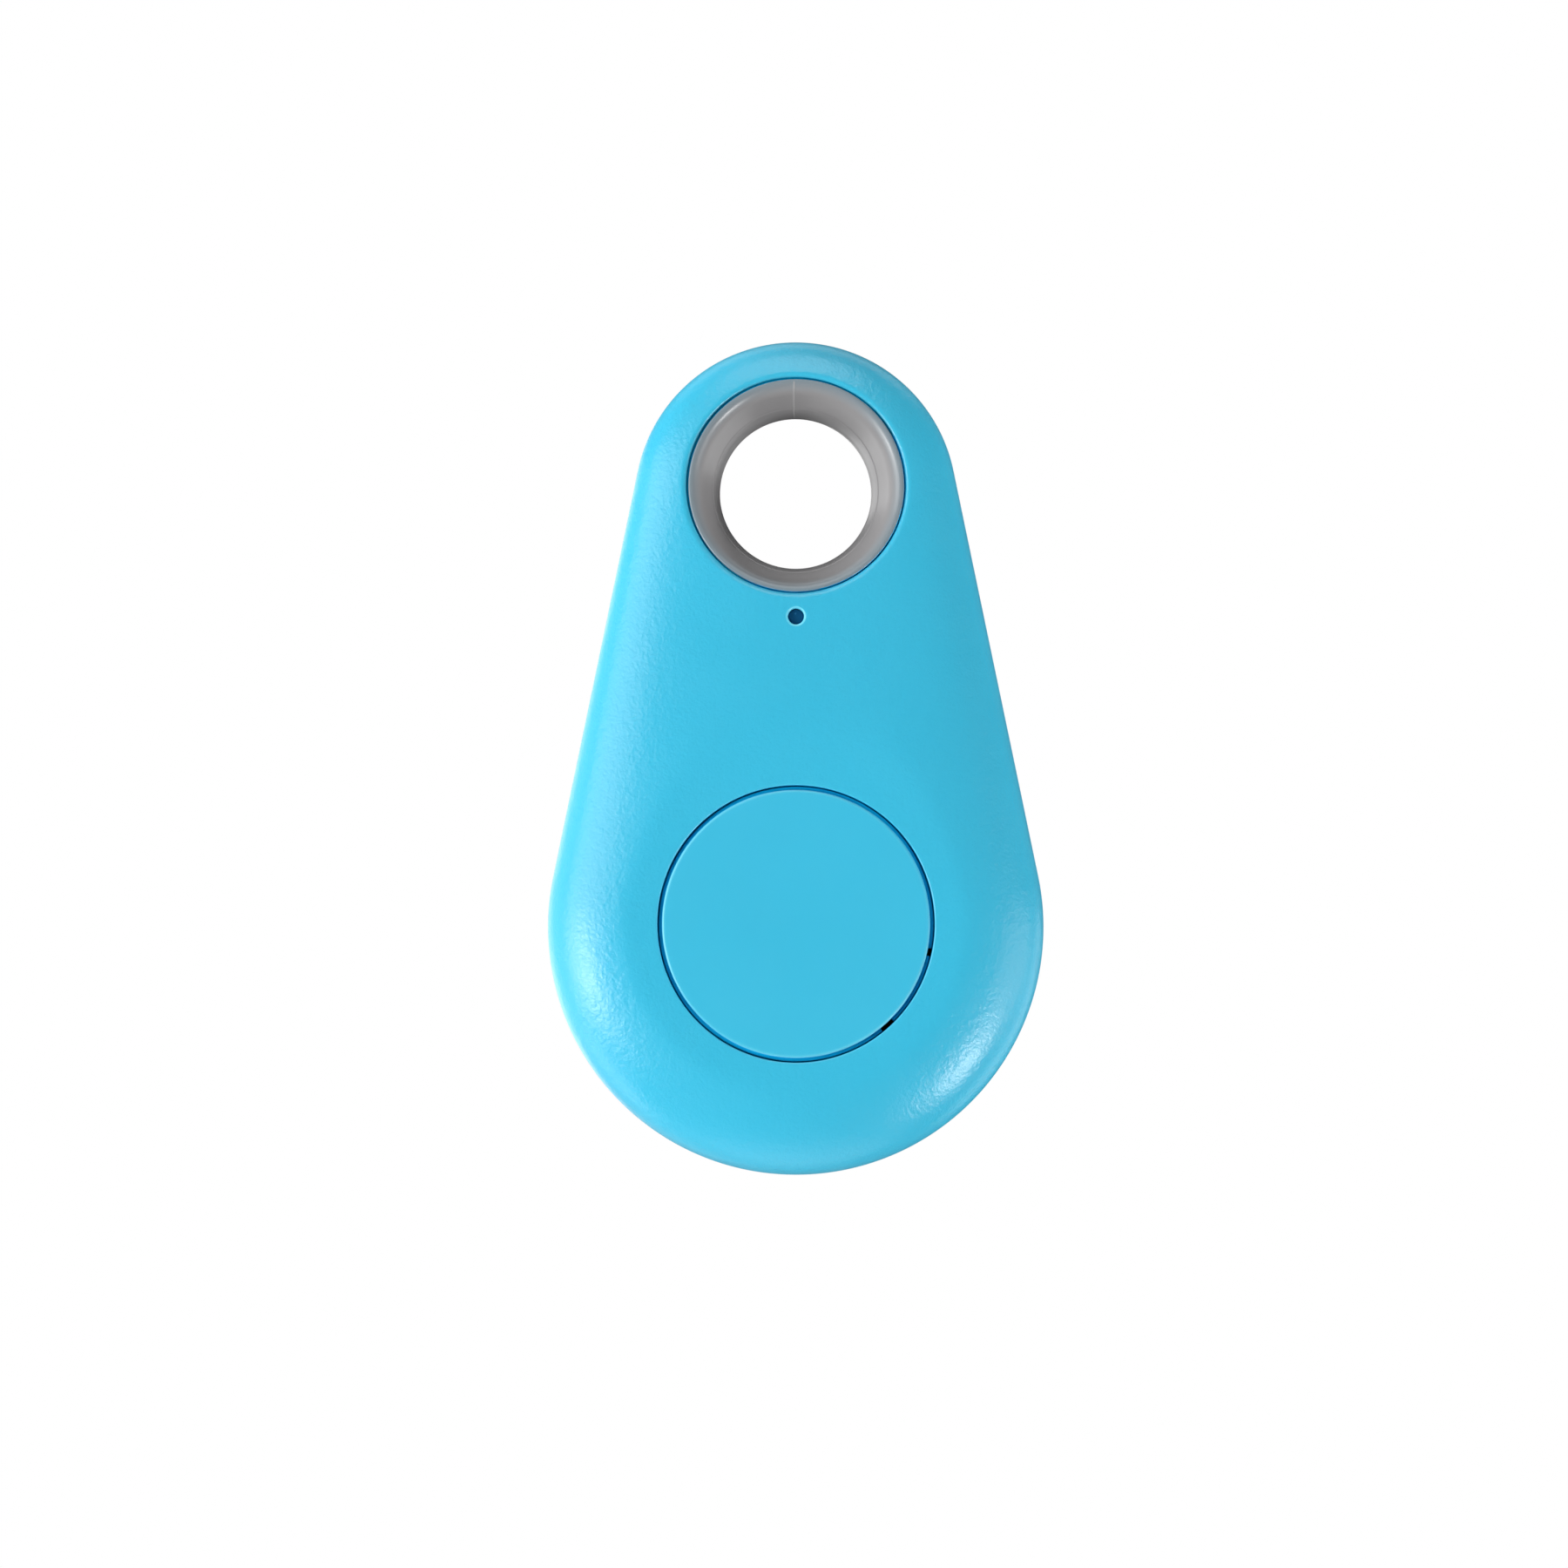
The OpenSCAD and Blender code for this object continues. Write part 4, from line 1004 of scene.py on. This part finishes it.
gap_finish = deep_plastic("gap_plastic", GAP_COLOUR)
flash_finish = moulded("flash_plastic", (0.38, 0.375, 0.38), (0.43, 0.425, 0.43), 0.3, 1800, 1e-6)
# painted highlight ring round the LED window
window_highlight_finish = matte_plastic("window_rim_highlight", WINDOW_RIM_HIGHLIGHT, 0.36, 3e-6)


def set_material(obj, mat):
    obj.data.materials.clear()
    obj.data.materials.append(mat)


def paint(obj, mat, test):
    """Gives a second material to the faces whose middle (x, y, w) in mm passes the test."""
    if mat.name not in obj.data.materials:
        obj.data.materials.append(mat)
    index = obj.data.materials.find(mat.name)
    for face in obj.data.polygons:
        c = face.center / MM
        if test(c.x, c.z, -c.y):
            face.material_index = index


def near(x, y, cy, low, high):
    return low < math.hypot(x, y - cy) < high


def button_wall(x, y, w):
    return near(x, y, BODY_Y, BUTTON_R - 0.06, 20) and w < CAP_TOP - BUTTON_EDGE


def button_opening(x, y, w):
    return near(x, y, BODY_Y, 0, BUTTON_HOLE_R + 0.01) and w > ROOF_H - 0.1


def window_rim(x, y, w):
    return near(x, y, LED_Y, LED_HOLE_R + 0.01, LED_RIM_R) and w > 4


def key_hole_wall(x, y, w):
    return near(x, y, 0, 0, HOLE_R + 0.05) and abs(w) > 2


def parting_line(x, y, w):
    return abs(math.atan2(x, y) - FLASH_TURN) < FLASH_WIDTH and near(x, y, 0, 4.8, 6.5)


def liner_seat(x, y, w):
    return near(x, y, 0, LINER_R + 0.01, 7) and w > 3


replaced = {"front_shell", "rear_shell", "button_cap", "hole_liner"}
slots = {part["node"]: part["material_slot"] for part in frame["record"]["subparts"]}
for name, obj in nodes.items():
    if name not in replaced:
        set_material(obj, finish[slots[name]])
set_material(shell_front, finish["shell_blue"])
set_material(shell_rear, finish["shell_blue"])
set_material(button, button_finish)
set_material(liner, finish["liner_grey"])
paint(button, gap_finish, button_wall)
paint(shell_front, gap_finish, button_opening)
paint(shell_front, window_highlight_finish, window_rim)
paint(shell_front, gap_finish, key_hole_wall)
paint(shell_rear, gap_finish, key_hole_wall)
paint(liner, flash_finish, parting_line)
paint(liner, gap_finish, liner_seat)

# ---------------------------------------------------------------- stage, lights, camera

WHITE = (1, 1, 1, 1)


def studio_world(seen, cast):
    """White page for the camera, weak even light for everything else."""
    world = bpy.data.worlds.new("studio")
    bpy.context.scene.world = world
    world.use_nodes = True
    tree = world.node_tree
    tree.nodes.clear()
    out = add(tree, "ShaderNodeOutputWorld")
    path = add(tree, "ShaderNodeLightPath")
    page = add(tree, "ShaderNodeBackground", {"Color": WHITE, "Strength": seen})
    sky = add(tree, "ShaderNodeBackground", {"Color": WHITE, "Strength": cast})
    choose = add(tree, "ShaderNodeMixShader")
    tree.links.new(path.outputs["Is Camera Ray"], choose.inputs[0])
    tree.links.new(sky.outputs[0], choose.inputs[1])
    tree.links.new(page.outputs[0], choose.inputs[2])
    tree.links.new(choose.outputs[0], out.inputs[0])


def glowing(name, strength):
    mat = bpy.data.materials.new(name)
    mat.use_nodes = True
    tree = mat.node_tree
    tree.nodes.clear()
    out = add(tree, "ShaderNodeOutputMaterial")
    glow = add(tree, "ShaderNodeEmission", {"Color": WHITE, "Strength": strength})
    tree.links.new(glow.outputs[0], out.inputs[0])
    return mat


def round_floor(radius, height, strength):
    mesh = bpy.data.meshes.new("floor")
    bm = bmesh.new()
    bmesh.ops.create_circle(bm, cap_ends=True, radius=radius, segments=96)
    bm.to_mesh(mesh)
    bm.free()
    floor = new_object("floor", mesh)
    floor.location.z = height
    set_material(floor, glowing("floor_white", strength))


studio_world(seen=1.0, cast=0.02)
round_floor(radius=0.2, height=-0.45, strength=1.0)

# what the lights aim at and how far off they stand, metres
MIDDLE = Vector((0, 0, -0.0165))
LIGHT_DISTANCE = 0.6


def soft_light(name, azimuth, elevation, width, height, power):
    """Soft box aimed at the tag. Azimuth 0 is the camera's side, positive to the right."""
    az, el = math.radians(azimuth), math.radians(elevation)
    data = bpy.data.lights.new(name, "AREA")
    data.shape = "RECTANGLE"
    data.size, data.size_y, data.energy = width, height, power
    obj = new_object(name, data)
    d = Vector((math.cos(el) * math.sin(az), -math.cos(el) * math.cos(az), math.sin(el)))
    obj.location = MIDDLE + d * LIGHT_DISTANCE
    obj.rotation_euler = (-d).to_track_quat("-Z", "Y").to_euler()


# name, azimuth and elevation in degrees, width and height in metres, watts
for light in (
    ("key_small", -60, -11, 0.13, 0.16, 0.9),
    ("key_low", -66, -13, 0.5, 0.3, 2.1),
    ("key_high", -62, 15, 0.5, 0.3, 1.7),
    ("left_side", -110, -5, 0.3, 0.55, 0.5),
    ("low_left", -98, -38, 0.3, 0.25, 0.55),
    ("low_right", 61, -35, 0.15, 0.15, 2.0),
    ("right_side", 75, -10, 0.5, 0.3, 1.2),
    ("top", -4, 64, 0.5, 0.4, 1.75),
    ("left_rim", -140, -30, 0.5, 0.6, 0.4),
    ("right_rim", 125, -20, 0.3, 0.5, 0.6),
    ("rear_left", -150, 0, 0.4, 0.4, 0.7),
    ("rear_high", 180, 62, 0.9, 0.3, 0.85),
):
    soft_light(*light)

# camera fitted to the photo: place and aim point in metres, lens and sensor in mm
CAMERA_AT = Vector((-0.001063, -0.247319, -0.035016))
CAMERA_AIM = Vector((-0.00073, 0, -0.018257))

cam_data = bpy.data.cameras.new("camera")
cam_data.sensor_width, cam_data.lens = 36, 91.1
cam_data.clip_start, cam_data.clip_end = 0.01, 20
camera = new_object("camera", cam_data)
camera.location = CAMERA_AT
camera.rotation_euler = (CAMERA_AIM - CAMERA_AT).to_track_quat("-Z", "Y").to_euler()
bpy.context.scene.camera = camera
bpy.context.scene.view_settings.view_transform = "Standard"
bpy.context.scene.view_settings.look = "None"
